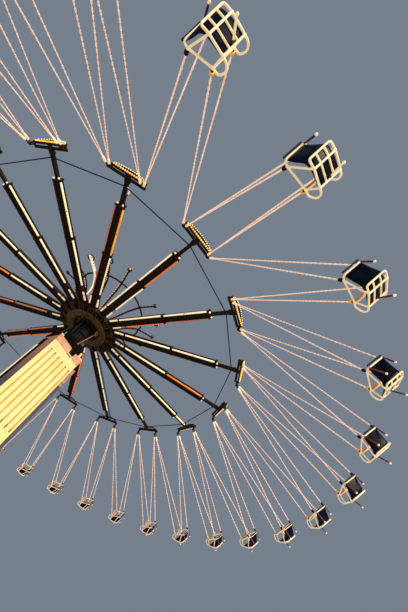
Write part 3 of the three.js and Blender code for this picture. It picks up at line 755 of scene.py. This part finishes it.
        rod.tube(xyz(0.094 * np.cos(angle), 0, 0.094 * np.sin(angle)) @ turn.T + eye, 0.024, ROSE_ROD, 10,
                 closed=True)
        rod.piece("rod_and_ring", "tower", "rose_rod", "torque_rod")

    def build(self) -> None:
        """Make every piece of the tower, and give the CAD nodes that stay their finishes."""
        self.front_panel()
        self.rear_panel()
        self.seams()
        self.cap()
        self.duct()
        self.foot_bolts()
        self.neck()
        self.drive()
        kept = {"base_flange": GREY, "tower_core": BLACK, "cable_duct": GREY, "tower_cap": SALMON}
        for node, finish in kept.items():
            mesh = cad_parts[node].data
            mesh.materials.clear()
            mesh.materials.append(finish.material())


# Head


@dataclass
class Hub:
    """The drum at the middle of the head, with its fins and fittings."""

    recess: float = 0.70
    ceiling: float = 0.22
    top: float = 0.48

    def build(self) -> None:
        """Make the drum and everything that stands round it."""
        recess, ceiling, top = self.recess, self.ceiling, self.top
        form = Form()
        form.turned([
            (recess - 0.004, ceiling), (recess, ceiling - 0.006), (recess, 0.012), (recess + 0.012, 0),
            (0.78, 0), (0.785, 0.006), (0.83, 0.006), (0.835, 0), (1.0, 0), (1.005, -0.012), (1.045, -0.012),
            (1.06, 0), (1.06, top - 0.02), (1.04, top), (0.72, top + 0.055), (0.68, top + 0.055),
            (0.68, ceiling),
        ], HUB_BROWN, 96, closed=True)
        lid = ceiling + 0.001
        form.turned([(0.01, lid), (recess - 0.003, lid), (recess - 0.003, top), (0.01, top)], HUB_DEEP)
        bolt = tipped(hexagon_head(0.016, 0.018, ARM_DARK), 180)
        for radius, count in ((0.91, 48), (0.75, 32)):
            form.scatter(placed(bolt, shifts(radius * X)[0]), around(count))
        tooth = Form().block((0.655, -0.014, 0.05), (recess + 0.001, 0.014, ceiling), HUB_BROWN, 0.004)
        form.scatter(tooth, around(40))
        lug = Form().block((0.50, -0.05, 0.12), (0.62, 0.05, ceiling + 0.002), HUB_BROWN, 0.012)
        form.scatter(lug, around(12, 0.2))
        form.turned([(0.475, 0.16), (0.52, 0.15), (0.52, ceiling + 0.002), (0.475, ceiling + 0.002)],
                    HUB_BROWN, 64, closed=True)
        lifted(form, HOOK_HEIGHT).piece("hub_casing", "head", "brown_hub", "hub_drum")
        self.fins()

    def fins(self) -> None:
        """Gussets under the arm roots, clevis lugs with pins, and close radial fins between them."""
        outline = np.array([(1.0605, 0.005), (1.0605, 0.108), (1.46, 0.108), (1.46, 0.09), (1.16, 0.005)])
        root = Form()
        for y in (-0.125, 0.0, 0.125):
            sides = [xyz(outline[:, 0], y + s * 0.007, outline[:, 1]) for s in (-1, 1)]
            root.loft(np.stack(sides), HUB_BROWN)
        root.pair((1.26, 0.152, 0.06), (1.40, 0.195, 0.22), ARM_EDGE, 0.006)
        root.pair((1.10, 0.152, 0.10), (1.24, 0.195, 0.40), HUB_BROWN, 0.006)
        root.tube([(1.33, -0.23, 0.12), (1.33, 0.23, 0.12)], 0.022, GREY, 10)
        hose = smooth_path([(1.12, 0.16, 0.42), (1.5, 0.21, 0.30), (1.95, 0.165, 0.30)], 5)
        root.tube(hose, 0.014, RUBBER, 6)
        between = Form().scatter(Form().block((1.062, -0.013, 0.015), (1.33, 0.013, 0.36), HUB_DEEP, 0.003),
                                 turn_z(np.radians((-4.0, 0.0, 4.0))))
        between.block((1.07, -0.10, 0.20), (1.10, 0.10, 0.24), HUB_BROWN, 0.004)
        between.block((1.15, -0.085, 0.25), (1.19, 0.085, 0.28), COUPLING, 0.006)
        form = Form().scatter(root, around(ARM_COUNT, FIRST_ARM))
        form.scatter(between, around(ARM_COUNT, FIRST_ARM + PITCH / 2))
        lifted(form, HOOK_HEIGHT).piece("hub_fins", "head", "brown_hub")


class Strip(Enum):
    """Finish of a light strip along an arm."""

    CREAM = STRIP_CREAM
    ORANGE = STRIP_ORANGE
    GOLD = STRIP_GOLD
    PINK = STRIP_PINK
    PAINTED_SHADE = STRIP_PAINTED_SHADE


@dataclass
class Arm:
    """One arm along +X: box beam, ladder underside, light strips, T-shaped end and light board.

    Args:
        number: 1 to 16, counted anticlockwise from above.
        strips: Finishes of the strips: left inner, left outer, right inner, right outer.
        bow_rise: Rise of the bow's arch above the beam.
    """

    number: int
    strips: tuple[Strip, Strip, Strip, Strip]
    bow_rise: float = 0.26
    centre: float = 0.24
    rail: float = 0.045
    strip_start: float = 2.30
    strip_lead: float = 0.22
    root: float = 1.0603
    inner_end: float = 4.35
    outer_end: float = 6.45
    bar_inner: float = 7.33
    bar_outer: float = 7.515
    bar_half: float = 0.655
    bar_low: float = 0.180
    bar_high: float = 0.245

    def section(self, form: Form, x0: float, x1: float, wide: float, tall: float) -> None:
        """One box section with rails along its edges, rungs across its underside and posts up its sides."""
        low, high, rail = self.centre - tall, self.centre + tall, self.rail
        form.block((x0, 0.012 - wide, low + 0.03), (x1, wide - 0.012, high - 0.02), ARM_DARK, 0.006)
        for z in (low, high - rail):
            form.pair((x0, wide - rail, z), (x1, wide, z + rail), ARM_EDGE, 0.006)
        reach = wide - rail + 0.01
        unit = Form().block((-0.016, -reach, low + 0.004), (0.016, reach, low + 0.036), ARM_EDGE, 0.003)
        unit.pair((-0.014, wide - 0.013, low + rail - 0.005), (0.014, wide - 0.002, high - rail + 0.005),
                  ARM_EDGE, 0.002)
        form.scatter(unit, shifts(np.outer(np.arange(x0 + 0.14, x1 - 0.06, 0.26), X)))

    def lights(self, form: Form) -> None:
        """Light strips along both lower edges, with clamps and plugs; on an arm's shaded side the inner strip
        is left out and the outer one takes a dark finish of painted shade.
        """
        centre = self.centre
        for index, strip in enumerate(self.strips):
            side = 1 if index < 2 else -1
            if index % 2:
                x0, x1, wide, drop = self.inner_end + 0.06, self.outer_end - 0.08, 0.130, 0.07
            elif strip is Strip.PAINTED_SHADE:
                continue
            else:
                x0 = self.strip_start - (self.strip_lead if side < 0 else 0)
                x1, wide, drop = self.inner_end - 0.05, 0.150, 0.088
                a, b = sorted((side * 0.145, side * 0.222))
                # Painted highlight: pale glowing blocks near the root, only on the sunlit side of an arm.
                form.block((1.54, a, centre - 0.13), (1.78, b, centre - 0.07), COUPLING, 0.012)
                form.block((1.81, a, centre - 0.125), (1.98, b * 0.97, centre - 0.075), COUPLING, 0.012)
            y, z = side * (wide + 0.026), centre - drop
            path = [(x, y, z) for x in (x0, x0 + 0.02, x1 - 0.02, x1)]
            form.tube(path, (0.024, 0.037, 0.037, 0.024), strip.value)
            a, b = sorted((side * (wide - 0.01), side * (wide + 0.06)))
            for x in (x0 - 0.02, (x0 + x1) / 2, x1 + 0.02):
                form.block((x - 0.022, a, z - 0.034), (x + 0.022, b, z + 0.034), ARM_DARK, 0.004)

    def wiring(self, form: Form) -> None:
        """Beads along the left side and a hose to the T-shaped end."""
        bead = Form().block((-0.024, -0.020, -0.014), (0.024, 0.022, 0.014), ARM_DARK)
        spots = np.arange(1.9, self.inner_end - 0.1, 0.11)
        form.scatter(bead, shifts(xyz(spots, 0.224, self.centre - 0.095)))
        hose = smooth_path([(self.outer_end - 0.1, 0.16, 0.17), (6.80, 0.13, 0.16), (7.02, 0.17, 0.20),
                            (7.10, 0.06, 0.22)], 6)
        form.tube(hose[:10], 0.016, RUBBER)
        form.tube(hose[9:], 0.024, COUPLING)

    def long_strip(self, form: Form) -> None:
        """A cream strip that runs on along the right side of the stub."""
        form.tube([(x, -0.095, self.centre - 0.05) for x in (self.outer_end + 0.05, self.bar_inner - 0.14)],
                  0.036, STRIP_CREAM)

    def ladder(self, form: Form) -> None:
        """Cable ladder that runs beside the arm from the hub to the T-shaped end."""
        z = self.centre - 0.06
        for y in (-0.225, -0.305):
            form.tube([(1.35, y, z), (self.bar_inner - 0.02, y, z)], 0.020, LADDER_BLUE, 6)
        rung = Form().tube([(0, -0.225, z), (0.0, -0.305, z)], 0.014, LADDER_BLUE, 6)
        form.scatter(rung, shifts(np.outer(np.arange(1.45, self.bar_inner - 0.1, 0.11), X)))
        for x in (1.5, 3.0, 4.35, 5.4, 6.4):
            form.block((x - 0.02, -0.24, z - 0.02), (x + 0.02, -0.12, z + 0.02), ARM_EDGE, 0.004)

    def crossbar(self, form: Form) -> None:
        """Twin beams with spacers, end plates, drop links and the hook plates with their pins."""
        inner, outer, low, high = self.bar_inner, self.bar_outer, self.bar_low, self.bar_high
        for x0, x1 in ((inner, inner + 0.088), (outer - 0.053, outer)):
            form.block((x0, -self.bar_half, low), (x1, self.bar_half, high), ARM_DARK, 0.008)
        spacer = Form().block((inner + 0.06, -0.02, low + 0.02), (outer - 0.06, 0.02, high - 0.02), ARM_EDGE,
                              0.003)
        form.scatter(spacer, shifts(np.outer((-0.62, -0.03, 0.03, 0.62), Y)))
        form.block((inner - 0.05, -0.10, low - 0.004), (outer - 0.02, 0.10, low + 0.012), ARM_EDGE, 0.004)
        x, y = HOOK_RADIUS * math.cos(HOOK_ANGLE), HOOK_RADIUS * math.sin(HOOK_ANGLE)
        form.pair((x - 0.042, y - 0.028, -0.042), (x + 0.042, y + 0.028, low + 0.006), ARM_DARK, 0.01)
        form.pair((x - 0.060, y - 0.040, low - 0.05), (x + 0.060, y + 0.040, low + 0.004), ARM_EDGE, 0.006)
        pin, lean = 0.062, PITCH / 2
        for side in (-1, 1):
            for end in ((x, side * (y - pin), 0.0),
                        (x - pin * math.sin(lean), side * (y + pin * math.cos(lean)), 0.0)):
                form.tube([(x, side * y, 0.0), end], 0.0138, GREY)

    def board(self, form: Form) -> None:
        """Light bow: an open arch of tube with white bulbs over a lower rail with amber ones.

        The arch rises above the beam by the rise times one minus the square of the distance from
        the middle over half the length.
        """
        half, x, low, high = self.bar_half - 0.02, self.bar_outer + 0.012, self.bar_low, self.bar_high

        def rise(spot: Array | float) -> Array | float:
            """Height of the arch at a distance from its middle."""
            return high - 0.015 + self.bow_rise * (1 - (spot / half) ** 2)

        y = np.linspace(-half, half, 25)
        form.tube(xyz(x, y, rise(y)), 0.034, ARM_DARK)
        form.block((x - 0.018, -half, low + 0.004), (x + 0.002, half, high - 0.008), ARM_DARK, 0.006)
        form.pair((x - 0.018, half - 0.02, low + 0.01), (x + 0.016, half + 0.02, high), ARM_DARK, 0.006)
        for spot in (-0.38, 0.0, 0.38):
            form.tube([(x, spot, low + 0.06), (x, spot, rise(spot))], 0.009, ARM_DARK, 6)
        spots = xyz(x + 0.012, np.linspace(0.045 - half, half - 0.045, 15), low + 0.056)
        form.scatter(lamp(0.035, BULB_AMBER), shifts(spots))
        # Painted highlights: a small white glowing dot beside each amber bulb.
        form.scatter(lamp(0.015, BULB_WHITE), shifts(spots + (0.023, 0.006, -0.023)))
        row = np.linspace(0.10 - half, half - 0.10, 15)
        form.scatter(lamp(0.023, BULB_WHITE), shifts(xyz(x + 0.034, row, rise(row) + 0.014)))

    def build(self) -> None:
        """Make the arm with the fittings that only some arms have, and turn it to its place."""
        form, z = Form(), self.centre
        form.block((self.root, -0.19, z - 0.20), (self.root + 0.035, 0.19, z + 0.20), ARM_EDGE, 0.006)
        self.section(form, self.root + 0.03, self.inner_end, 0.150, 0.130)
        self.section(form, self.inner_end - 0.01, self.outer_end, 0.130, 0.110)
        for x, wide, tall, length in (
            (self.inner_end, 0.162, 0.142, 0.05), (self.outer_end - 0.03, 0.158, 0.128, 0.07),
            (self.bar_inner - 0.09, 0.085, 0.08, 0.07), (self.root + 0.45, 0.158, 0.138, 0.04),
        ):
            form.block((x - length / 2, -wide, z - tall), (x + length / 2, wide, z + tall), ARM_EDGE, 0.008)
        end = self.outer_end
        form.block((end, -0.065, z - 0.062), (self.bar_inner + 0.02, 0.065, z + 0.062), ARM_DARK, 0.012)
        form.pair((end + 0.008, 0.08, z - 0.10), (end + 0.06, 0.14, z - 0.04), STRIP_CREAM, 0.008)
        for y in (-0.05, 0.05):
            form.tube([(end + 0.01, y, z - 0.05), (self.bar_inner - 0.12, y, z - 0.066)], 0.014, ARM_EDGE, 6)
        self.lights(form)
        extra = {2: self.ladder, 11: self.wiring, 16: self.long_strip}.get(self.number)
        if extra:
            extra(form)
        self.crossbar(form)
        self.board(form)
        place = turn_z([FIRST_ARM + (self.number - 1) * PITCH])[0]
        place[2, 3] = HOOK_HEIGHT
        name = f"arm_{self.number:02d}"
        placed(form, place).piece(f"{name}_dressed", "head", "dark_arm_steel", name)


@dataclass
class Crown:
    """Lamp stems that rise from the hub and bend outwards, tied by a scalloped garland."""

    base: float = 0.54
    offset: float = math.radians(7.4)
    garland_radius: float = 1.92
    garland_height: float = 1.99
    scallop: float = 0.05
    straight: tuple[Point, ...] = (
        (0.59, 0, 0.56), (1.02, 0, 1.06), (1.48, 0, 1.66), (1.92, 0, 1.99), (2.79, 0, 2.15))
    bowed: tuple[Point, ...] = (
        (0.44, -0.36, 0.56), (0.86, -0.42, 0.92), (1.11, -0.33, 1.17), (1.25, -0.17, 1.36),
        (1.48, -0.05, 1.66), (1.92, -0.01, 1.98), (2.79, 0, 2.12))

    def stem(self, finish: Finish, bulb: Finish, tip: str) -> Form:
        """One stem, foot to tip, with beads along both sides.

        Args:
            finish: The stem's finish; the pale one is thicker and bowed sideways.
            bulb: Finish of the beads on one side and of the bulb under the tip.
            tip: "fork" or "curl", or "knob" for neither.

        Returns:
            The stem along +X.
        """
        pale = finish is STEM_PALE
        points, foot, thick = (self.bowed, 0.046, 0.070) if pale else (self.straight, 0.042, 0.034)
        form = Form()
        path = smooth_path(points, 40 // (len(points) - 1))
        form.tube(path, np.linspace(foot, thick, len(path)), finish)
        share = np.linspace(6, len(path) - 2, 34)
        spots = np.stack([np.interp(share, np.arange(len(path)), path[:, axis]) for axis in range(3)], -1)
        edge = xyz(0.004, np.interp(share, (0, len(path) - 1), (foot, thick)) + 0.011, -0.014)
        form.scatter(lamp(0.024, STEM), shifts(spots + edge))
        form.scatter(lamp(0.022, bulb), shifts((spots + edge * (1, -1, 1))[::2]))
        reach, _, top = points[-1]
        if tip == "curl":
            turn = np.linspace(-0.35 * math.pi, 1.25 * math.pi, 14)
            curl = xyz(reach - 0.15 + 0.16 * np.sin(turn), 0.16 * np.cos(turn), top - 0.01)
            form.tube(curl, 0.032, STEM, 6)
        elif tip == "fork":
            for side in (-1, 1):
                fork = [(reach - 0.20, 0, top - 0.02), (reach - 0.10, side * 0.085, top),
                        (reach + 0.01, side * 0.055, top + 0.01)]
                form.tube(smooth_path(fork, 4), thick * 0.75, finish, 6)
        form.scatter(lamp(0.040, bulb if tip == "fork" else STEM), shifts([(reach - 0.005, 0, top)]))
        return form.scatter(lamp(0.022, bulb), shifts([(reach + 0.012, 0.02, top - 0.03)]))

    def build(self) -> None:
        """Make the crown cap, the stems and the garland."""
        form, z = Form(), self.base
        form.turned([(0.62, z + 0.0005), (0.64, z + 0.01), (0.60, z + 0.06), (0.555, z + 0.12),
                     (0.30, z + 0.17), (0.06, z + 0.20)], STEM)
        form.turned([(0.10, z + 0.19), (0.12, z + 0.21), (0.06, z + 0.28), (0.01, z + 0.30)], STEM, 24)
        for finish, bulb, tip, stations in (
            (STEM_PALE, BULB_PINK, "curl", (8,)), (STEM, BULB_PINK, "fork", (0, 2, 4, 6, 12, 14)),
            (STEM, BULB_AMBER, "fork", (10,)), (STEM, BULB_WHITE, "curl", (1, 5, 7, 9, 13, 15)),
            (STEM, BULB_AMBER, "knob", (3, 11)),
        ):
            turns = FIRST_ARM + self.offset + np.array(stations) * PITCH
            form.scatter(self.stem(finish, bulb, tip), turn_z(turns))
        angle = np.arange(192) * 2 * math.pi / 192
        wave = self.scallop * np.abs(np.sin((angle - FIRST_ARM - self.offset) * ARM_COUNT / 2))
        radius = self.garland_radius + wave - 0.02
        ring = xyz(radius * np.cos(angle), radius * np.sin(angle), self.garland_height - wave)
        form.tube(ring, 0.042, STEM, 6, closed=True)
        beads = ring[::2] * (1.026, 1.026, 1) - (0, 0, 0.02)
        form.scatter(lamp(0.020, BULB_PINK), shifts(beads[::2]))
        form.scatter(lamp(0.018, STEM), shifts(beads[1::2]))
        lifted(form, HOOK_HEIGHT).piece("lamp_crown", "head", "lamp_stems", "crown")


@dataclass
class RingStay:
    """Thin twisted cable that runs under the outer ends of the arms."""

    radius: float = 7.12
    height: float = HOOK_HEIGHT + 0.1687
    steps: int = 12

    def build(self) -> None:
        """Make the cable as straight spans from arm to arm, with a clamp under each arm.

        Between two arms the radius is that at the arms times the cosine of half the pitch over
        the cosine of the angle from the span's middle.
        """
        turn = np.arange(ARM_COUNT * self.steps) * 2 * math.pi / (ARM_COUNT * self.steps)
        radius = self.radius * math.cos(PITCH / 2) / np.cos((turn % PITCH) - PITCH / 2)
        path = xyz(radius * np.cos(turn + FIRST_ARM), radius * np.sin(turn + FIRST_ARM), self.height)
        form = Form().tube(path, 0.021, CABLE, closed=True)
        clamp = Form().block((self.radius - 0.05, -0.03, self.height - 0.02),
                             (self.radius + 0.03, 0.03, self.height + 0.009), ARM_EDGE, 0.004)
        form.scatter(clamp, around(ARM_COUNT, FIRST_ARM))
        form.piece("stay_ring", "head", "stay_cable", "ring_stay")


# Chairs


@dataclass
class Chair:
    """A chair on four chains, measured from its pivot line: x outwards, y forwards, z along the chains.

    Args:
        pivot_half: Half the distance between the two hook pins.
        rod: Finish of the rod below the seat.
        twin: True where a second rod hangs behind the back.
    """

    pivot_half: float
    rod: Finish
    twin: bool
    half_width: float = 0.262
    tube: float = 0.0185
    rear: tuple[float, float] = (-0.245, -5.262)
    front: tuple[float, float] = (0.225, -5.334)
    loop: tuple[float, float] = (0.432, -5.446)
    middle: tuple[float, float] = (0.02, -5.69)
    lip: tuple[float, float] = (0.316, -5.60)
    seat_rear: tuple[float, float] = (-0.145, -5.694)
    hoop: tuple[float, float] = (-0.35, -5.282)
    link_pitch: float = 0.060
    drop: float = 0.33
    sides: int = 12
    chain_inset: float = 0.014

    def frame(self) -> Form:
        """Tube frame: side bars, front loops, seat loop, cross bars, back hoop, lap bar and pad."""
        form = Form()
        w, r, n = self.half_width, self.tube, self.sides
        for s in (-1, 1):
            x = s * w
            rear, front, middle, lip = ((x, *p) for p in (self.rear, self.front, self.middle, self.lip))
            bulge = smooth_path([front, (x, 0.345, -5.325), (x, *self.loop), (x, 0.405, -5.555), lip], 5)
            slat = [(s * 0.095, y, z) for y, z in (
                self.seat_rear, (self.middle[0], self.middle[1] + 0.004), self.lip)]
            for path, thick in (([rear, front], r), ([rear, middle], r), ([front, lip], r * 0.9), (bulge, r),
                                (slat, r * 0.85)):
                form.tube(path, thick, FRAME_CREAM, n)
            form.scatter(lamp(r * 1.5, FRAME_CREAM, 12, 7), shifts([rear, front]))
            form.scatter(lamp(r * 1.2, FRAME_CREAM, 12, 7), shifts([middle, lip]))
        loop = [(-w, *p) for p in (self.lip, self.middle, self.seat_rear)]
        loop += [(w, *p) for p in (self.seat_rear, self.middle, self.lip)]
        form.tube(rounded(loop, 0.05, 6, closed=True), r, FRAME_CREAM, n, closed=True)
        form.tube([(-w, *self.middle), (w, *self.middle)], r, FRAME_CREAM, n)
        back = [(-w, *self.rear), (-0.252, *self.hoop), (0.252, *self.hoop), (w, *self.rear)]
        form.tube(rounded(back, 0.08, 6), r, FRAME_CREAM, n)
        y, z = self.hoop
        pad = [(x, y - 0.038, z + 0.034) for x in (-0.228, -0.222, 0.222, 0.228)]
        form.tube(pad, (0.012, 0.019, 0.019, 0.012), PAD_BLUE, n)
        for x in (-0.15, 0.15):
            form.tube([(x, y, z), (x, y - 0.038, z + 0.034)], 0.009, PAD_BLUE, 6)
        y, z = self.front
        form.tube([(-w, y, z), (w, y, z)], r, LAP_ORANGE, n)
        form.tube([(-w, y + 0.020, z - 0.034), (w, y + 0.020, z - 0.034)], r * 0.9, FRAME_CREAM, n)
        grip = [(x, y, z) for x in (-0.115, -0.105, 0.105, 0.115)]
        form.tube(grip, r * np.array([1.0, 1.3, 1.3, 1.0]), LAP_ORANGE, n)
        self.fittings(form)
        return form

    def fittings(self, form: Form) -> None:
        """Shackle covers at the chain ends, and the rods with ball ends."""
        for s in (-1, 1):
            for side, finish in ((-1, RUBBER), (1, YELLOW)):
                start, end = self.chain_line(s, side)
                up = (start - end) / np.linalg.norm(start - end)
                along = end + up * np.array([0.012, 0.022, 0.048, 0.049, 0.062, 0.10, 0.135])[:, None]
                form.tube(along[:3], (0.020, 0.029, 0.027), RUBBER, 12)
                form.tube(along[3:], (0.024, 0.040, 0.036, 0.012), finish, 12)
        rods = [((0.23, -0.345, -5.285), (0.23, -0.34, -5.56), MAROON),
                ((0.0, 0.29, -5.605), (0.0, 0.205, -5.935), self.rod)]
        if self.twin:
            rods.append(((-0.22, -0.350, -5.285), (-0.165, -0.33, -5.62), RUST_RED))
        for start, end, finish in rods:
            path = np.linspace(start, end, 5)
            form.tube(path, (0.012, 0.017, 0.019, 0.020, 0.011), finish)
            form.tube([path[0], path[0] + (path[1] - path[0]) * 0.6], 0.019, MAROON)
            form.scatter(lamp(0.026, COUPLING, 12, 7), shifts(path[-1] + (0, 0, -0.008)))

    def shell(self) -> Form:
        """Bucket shell as a thin curved sheet.

        Along the sheet the middle line runs from the front lip over the pan and up the back; across
        it the surface stays flat in the middle and rises towards each side with the sixth power
        of the distance from the middle.
        """
        line = smooth_path([(0, 0.312, -5.592), (0, 0.25, -5.606), (0, 0.10, -5.652), (0, 0.01, -5.676),
                            (0, -0.10, -5.680), (0, -0.152, -5.665), (0, -0.20, -5.59), (0, -0.28, -5.42),
                            (0, -0.338, -5.290)], 4)[:, 1:]
        share = np.linspace(0, 1, len(line))
        half = np.interp(share, [0, 0.12, 0.5, 0.65, 0.8, 1.0], [0.252, 0.268, 0.268, 0.262, 0.250, 0.240])
        wing = np.interp(share, [0, 0.15, 0.4, 0.6, 0.85, 1.0], [0.008, 0.02, 0.05, 0.09, 0.05, 0.012])
        along = np.gradient(line, axis=0)
        along /= np.linalg.norm(along, axis=1, keepdims=True)
        inside = np.stack([along[:, 1], -along[:, 0]], -1)[:, None]
        v = np.linspace(-1, 1, 17)
        drawn = line[:, None] + (wing[:, None] * v**6)[..., None] * inside
        outer = xyz(half[:, None] * v, drawn[..., 0], drawn[..., 1])
        inner = outer * (0.965, 1, 1)
        inner[..., 1:] += 0.008 * inside
        return Form().sheet(outer, inner, SHELL_NAVY)

    def hook_line(self, side: int) -> tuple[Array, Array]:
        """Ends of the line from below one hook towards the middle of its two chain ends, a drop long."""
        hook = np.array((0.0, side * (self.pivot_half - 0.0443), -0.05))
        aim = np.array((0.0, *(self.rear if side < 0 else self.front))) - hook
        return hook, hook + self.drop * aim / np.linalg.norm(aim)

    def chain_line(self, s: int, side: int) -> tuple[Array, Array]:
        """Upper and lower end of one chain: s is its side of the seat, and side its hook."""
        start = self.hook_line(side)[1] + (s * self.chain_inset, 0, 0)
        return start, np.array((s * self.half_width, *(self.rear if side < 0 else self.front)))

    def chains(self) -> Form:
        """Four chains of long links, with a drop link and a coupling under each hook pin."""
        form = Form()
        long, wide = self.link_pitch / 2 + 0.010, 0.0115
        up = np.array([-1, -0.55, 0.55, 1, 0.55, -0.55]) * long
        across = np.array([0, 1, 1, 0, -1, -1]) * wide
        link = Form().tube(xyz(across, 0, up), 0.0088, CHAIN, 3, closed=True)
        for s in (-1, 1):
            for side in (-1, 1):
                start, end = self.chain_line(s, side)
                length = np.linalg.norm(end - start)
                axis = (end - start) / length
                sideways = np.cross(axis, Y)
                sideways /= np.linalg.norm(sideways)
                spots = np.arange(self.link_pitch / 2, length - 0.12, self.link_pitch)
                base = np.stack([sideways, np.cross(axis, sideways), axis], -1)
                places = shifts(start + spots[:, None] * axis)
                for first in (0, 1):
                    places[first::2, :3, :3] = base @ turn_z([math.pi / 4 + first * math.pi / 2])[0, :3, :3]
                form.scatter(link, places)
        for side in (-1, 1):
            y0 = side * (self.pivot_half - 0.0303)
            a, b = sorted((y0, y0 - side * 0.028))
            form.pair((0.0152, a, -0.05), (0.034, b, 0.034), ARM_DARK, 0.006, X)
            form.block((-0.034, a, 0.0152), (0.034, b, 0.036), ARM_DARK, 0.006)
            form.block((-0.034, a, -0.072), (0.034, b, -0.0152), ARM_DARK, 0.008)
            hook, foot = self.hook_line(side)
            for share, radii, finish, sides in (
                ((0.0, 0.06, 0.10, 0.24, 0.27, 0.32), (0.026, 0.026, 0.020, 0.020, 0.026, 0.026),
                 ARM_DARK, 8),
                ((0.315, 0.36, 0.90, 1.04), (0.024, 0.039, 0.039, 0.020), COUPLING, 10),
            ):
                form.tube(hook + np.array(share)[:, None] * (foot - hook), radii, finish, sides)
        return form


def build_chairs() -> None:
    """Make every chair from its kind and hang it at its station."""
    halves = (HOOK_ANGLE, PITCH / 2 - HOOK_ANGLE)
    # Painted light: the rods under chairs 22 and 23 take the pale glowing frame finish where the sun lights
    # them; the other rods are maroon.
    styles = {21: (FRAME_CREAM, False), 22: (FRAME_CREAM, False), 23: (MAROON, False)}
    kinds = {}
    hinge = np.eye(4)
    hinge[0, 0] = hinge[2, 2] = math.cos(SWING)
    hinge[2, 0] = math.sin(SWING)
    hinge[0, 2] = -math.sin(SWING)
    hinge[2, 3] = HOOK_HEIGHT
    for station in range(2 * ARM_COUNT):
        half, style = halves[station % 2], styles.get(station, (MAROON, True))
        if (half, style) not in kinds:
            chair = Chair(HOOK_RADIUS * math.sin(half), *style)
            kinds[half, style] = {"frame": chair.frame(), "shell": chair.shell(), "chains": chair.chains()}
        hinge[0, 3] = HOOK_RADIUS * math.cos(half)
        place = turn_z([FIRST_ARM + station * PITCH / 2])[0] @ hinge
        number = f"{station + 1:02d}"
        for part, form in kinds[half, style].items():
            moved = placed(form, place)
            moved.piece(f"chair_{number}_{part}", f"swing_{number}", "chair_frame", f"chair_{number}")


# Studio


@dataclass
class Studio:
    """Camera at the photograph's viewing angle, a pale floor and soft light."""

    eye: Point = (-4.44, -11.92, 1.60)
    elevation: float = 46.5
    heading: float = 49.0
    roll: float = 32.1
    focal_pixels: float = 315.0
    frame_height: float = 612.0
    centre_offset: tuple[float, float] = (13.0, 32.0)
    sensor: float = 36.0
    floor_half: float = 120.0
    floor_drop: float = 0.001
    key_strength: float = 3.6
    key_size: float = 18.0
    key_colour: Point = (1.0, 0.86, 0.68)
    key_tilt: float = 73.0
    key_heading: float = -12.0
    surround: Point = (0.26, 0.31, 0.38)
    surround_strength: float = 0.7

    def camera(self) -> None:
        """Place the camera from its heading, elevation and roll."""
        climb, heading, roll = (math.radians(a) for a in (self.elevation, self.heading, self.roll))
        forward = np.array((math.cos(climb) * math.cos(heading), math.cos(climb) * math.sin(heading),
                            math.sin(climb)))
        level = np.array((math.sin(heading), -math.cos(heading), 0.0))
        upright = np.cross(level, forward)
        right = math.cos(roll) * level + math.sin(roll) * upright
        up = math.cos(roll) * upright - math.sin(roll) * level
        data = bpy.data.cameras.new("photo_camera")
        data.sensor_width = self.sensor
        data.lens = self.focal_pixels / self.frame_height * self.sensor
        data.shift_x, data.shift_y = (offset / self.frame_height for offset in self.centre_offset)
        data.clip_end = CAMERA_REACH
        camera = bpy.data.objects.new("photo_camera", data)
        place = np.eye(4)
        place[:3] = np.stack([right, up, -forward, self.eye], -1)
        camera.matrix_world = Matrix(place.tolist())
        bpy.context.scene.collection.objects.link(camera)
        bpy.context.scene.camera = camera

    def floor(self) -> None:
        """A wide pale floor just under the foot of the tower."""
        mesh = bpy.data.meshes.new("floor")
        corners = [(x * self.floor_half, y * self.floor_half, -self.floor_drop)
                   for x, y in ((-1, -1), (1, -1), (1, 1), (-1, 1))]
        mesh.from_pydata(corners, [], [(0, 1, 2, 3)])
        mesh.materials.append(PALE_FLOOR.material())
        made = bpy.data.objects.new("floor", mesh)
        bpy.context.scene.collection.objects.link(made)

    def lights(self) -> None:
        """A broad, low and warm key light from the front, and an even grey surround."""
        data = bpy.data.lights.new("key", "SUN")
        data.energy = self.key_strength
        data.angle = math.radians(self.key_size)
        data.color = self.key_colour
        key = bpy.data.objects.new("key", data)
        key.rotation_euler = (math.radians(self.key_tilt), 0, math.radians(self.key_heading))
        bpy.context.scene.collection.objects.link(key)
        world = bpy.data.worlds.new("studio")
        world.use_nodes = True
        wire(world.node_tree, world.node_tree.nodes["Background"],
             {"Color": (*self.surround, 1), "Strength": self.surround_strength})
        bpy.context.scene.world = world
        bpy.context.scene.view_settings.view_transform = "Standard"

    def build(self) -> None:
        """Set up the whole studio."""
        self.camera()
        self.floor()
        self.lights()


def main() -> None:
    """Build every sub-assembly in order."""
    logging.basicConfig(level=logging.INFO, format="%(message)s")
    Studio().build()
    Tower().build()
    Hub().build()
    cream, orange, gold, pink, painted_shade = Strip
    # Strip finishes per arm follow the key light: glowing strips on the sunlit side, the near-black painted
    # shade strip on the shaded side.
    strips = (
        (painted_shade, painted_shade, cream, cream), (painted_shade, painted_shade, cream, cream), (painted_shade, painted_shade, orange, orange),
        (painted_shade, painted_shade, pink, orange), (pink, pink, orange, orange), (pink, pink, painted_shade, painted_shade),
        (cream, orange, painted_shade, painted_shade), (cream, cream, painted_shade, painted_shade), (cream, cream, painted_shade, painted_shade),
        (cream, cream, painted_shade, painted_shade), (cream, gold, pink, pink), (cream, orange, cream, cream),
        (orange, pink, cream, cream), (painted_shade, painted_shade, cream, cream), (painted_shade, painted_shade, cream, orange),
        (painted_shade, painted_shade, cream, cream),
    )
    low_bows = {11: 0.17, 12: 0.17}
    for number, finishes in enumerate(strips, 1):
        Arm(number, finishes, low_bows.get(number, Arm.bow_rise)).build()
    Crown().build()
    RingStay().build()
    build_chairs()


if __name__ == "__main__":
    main()
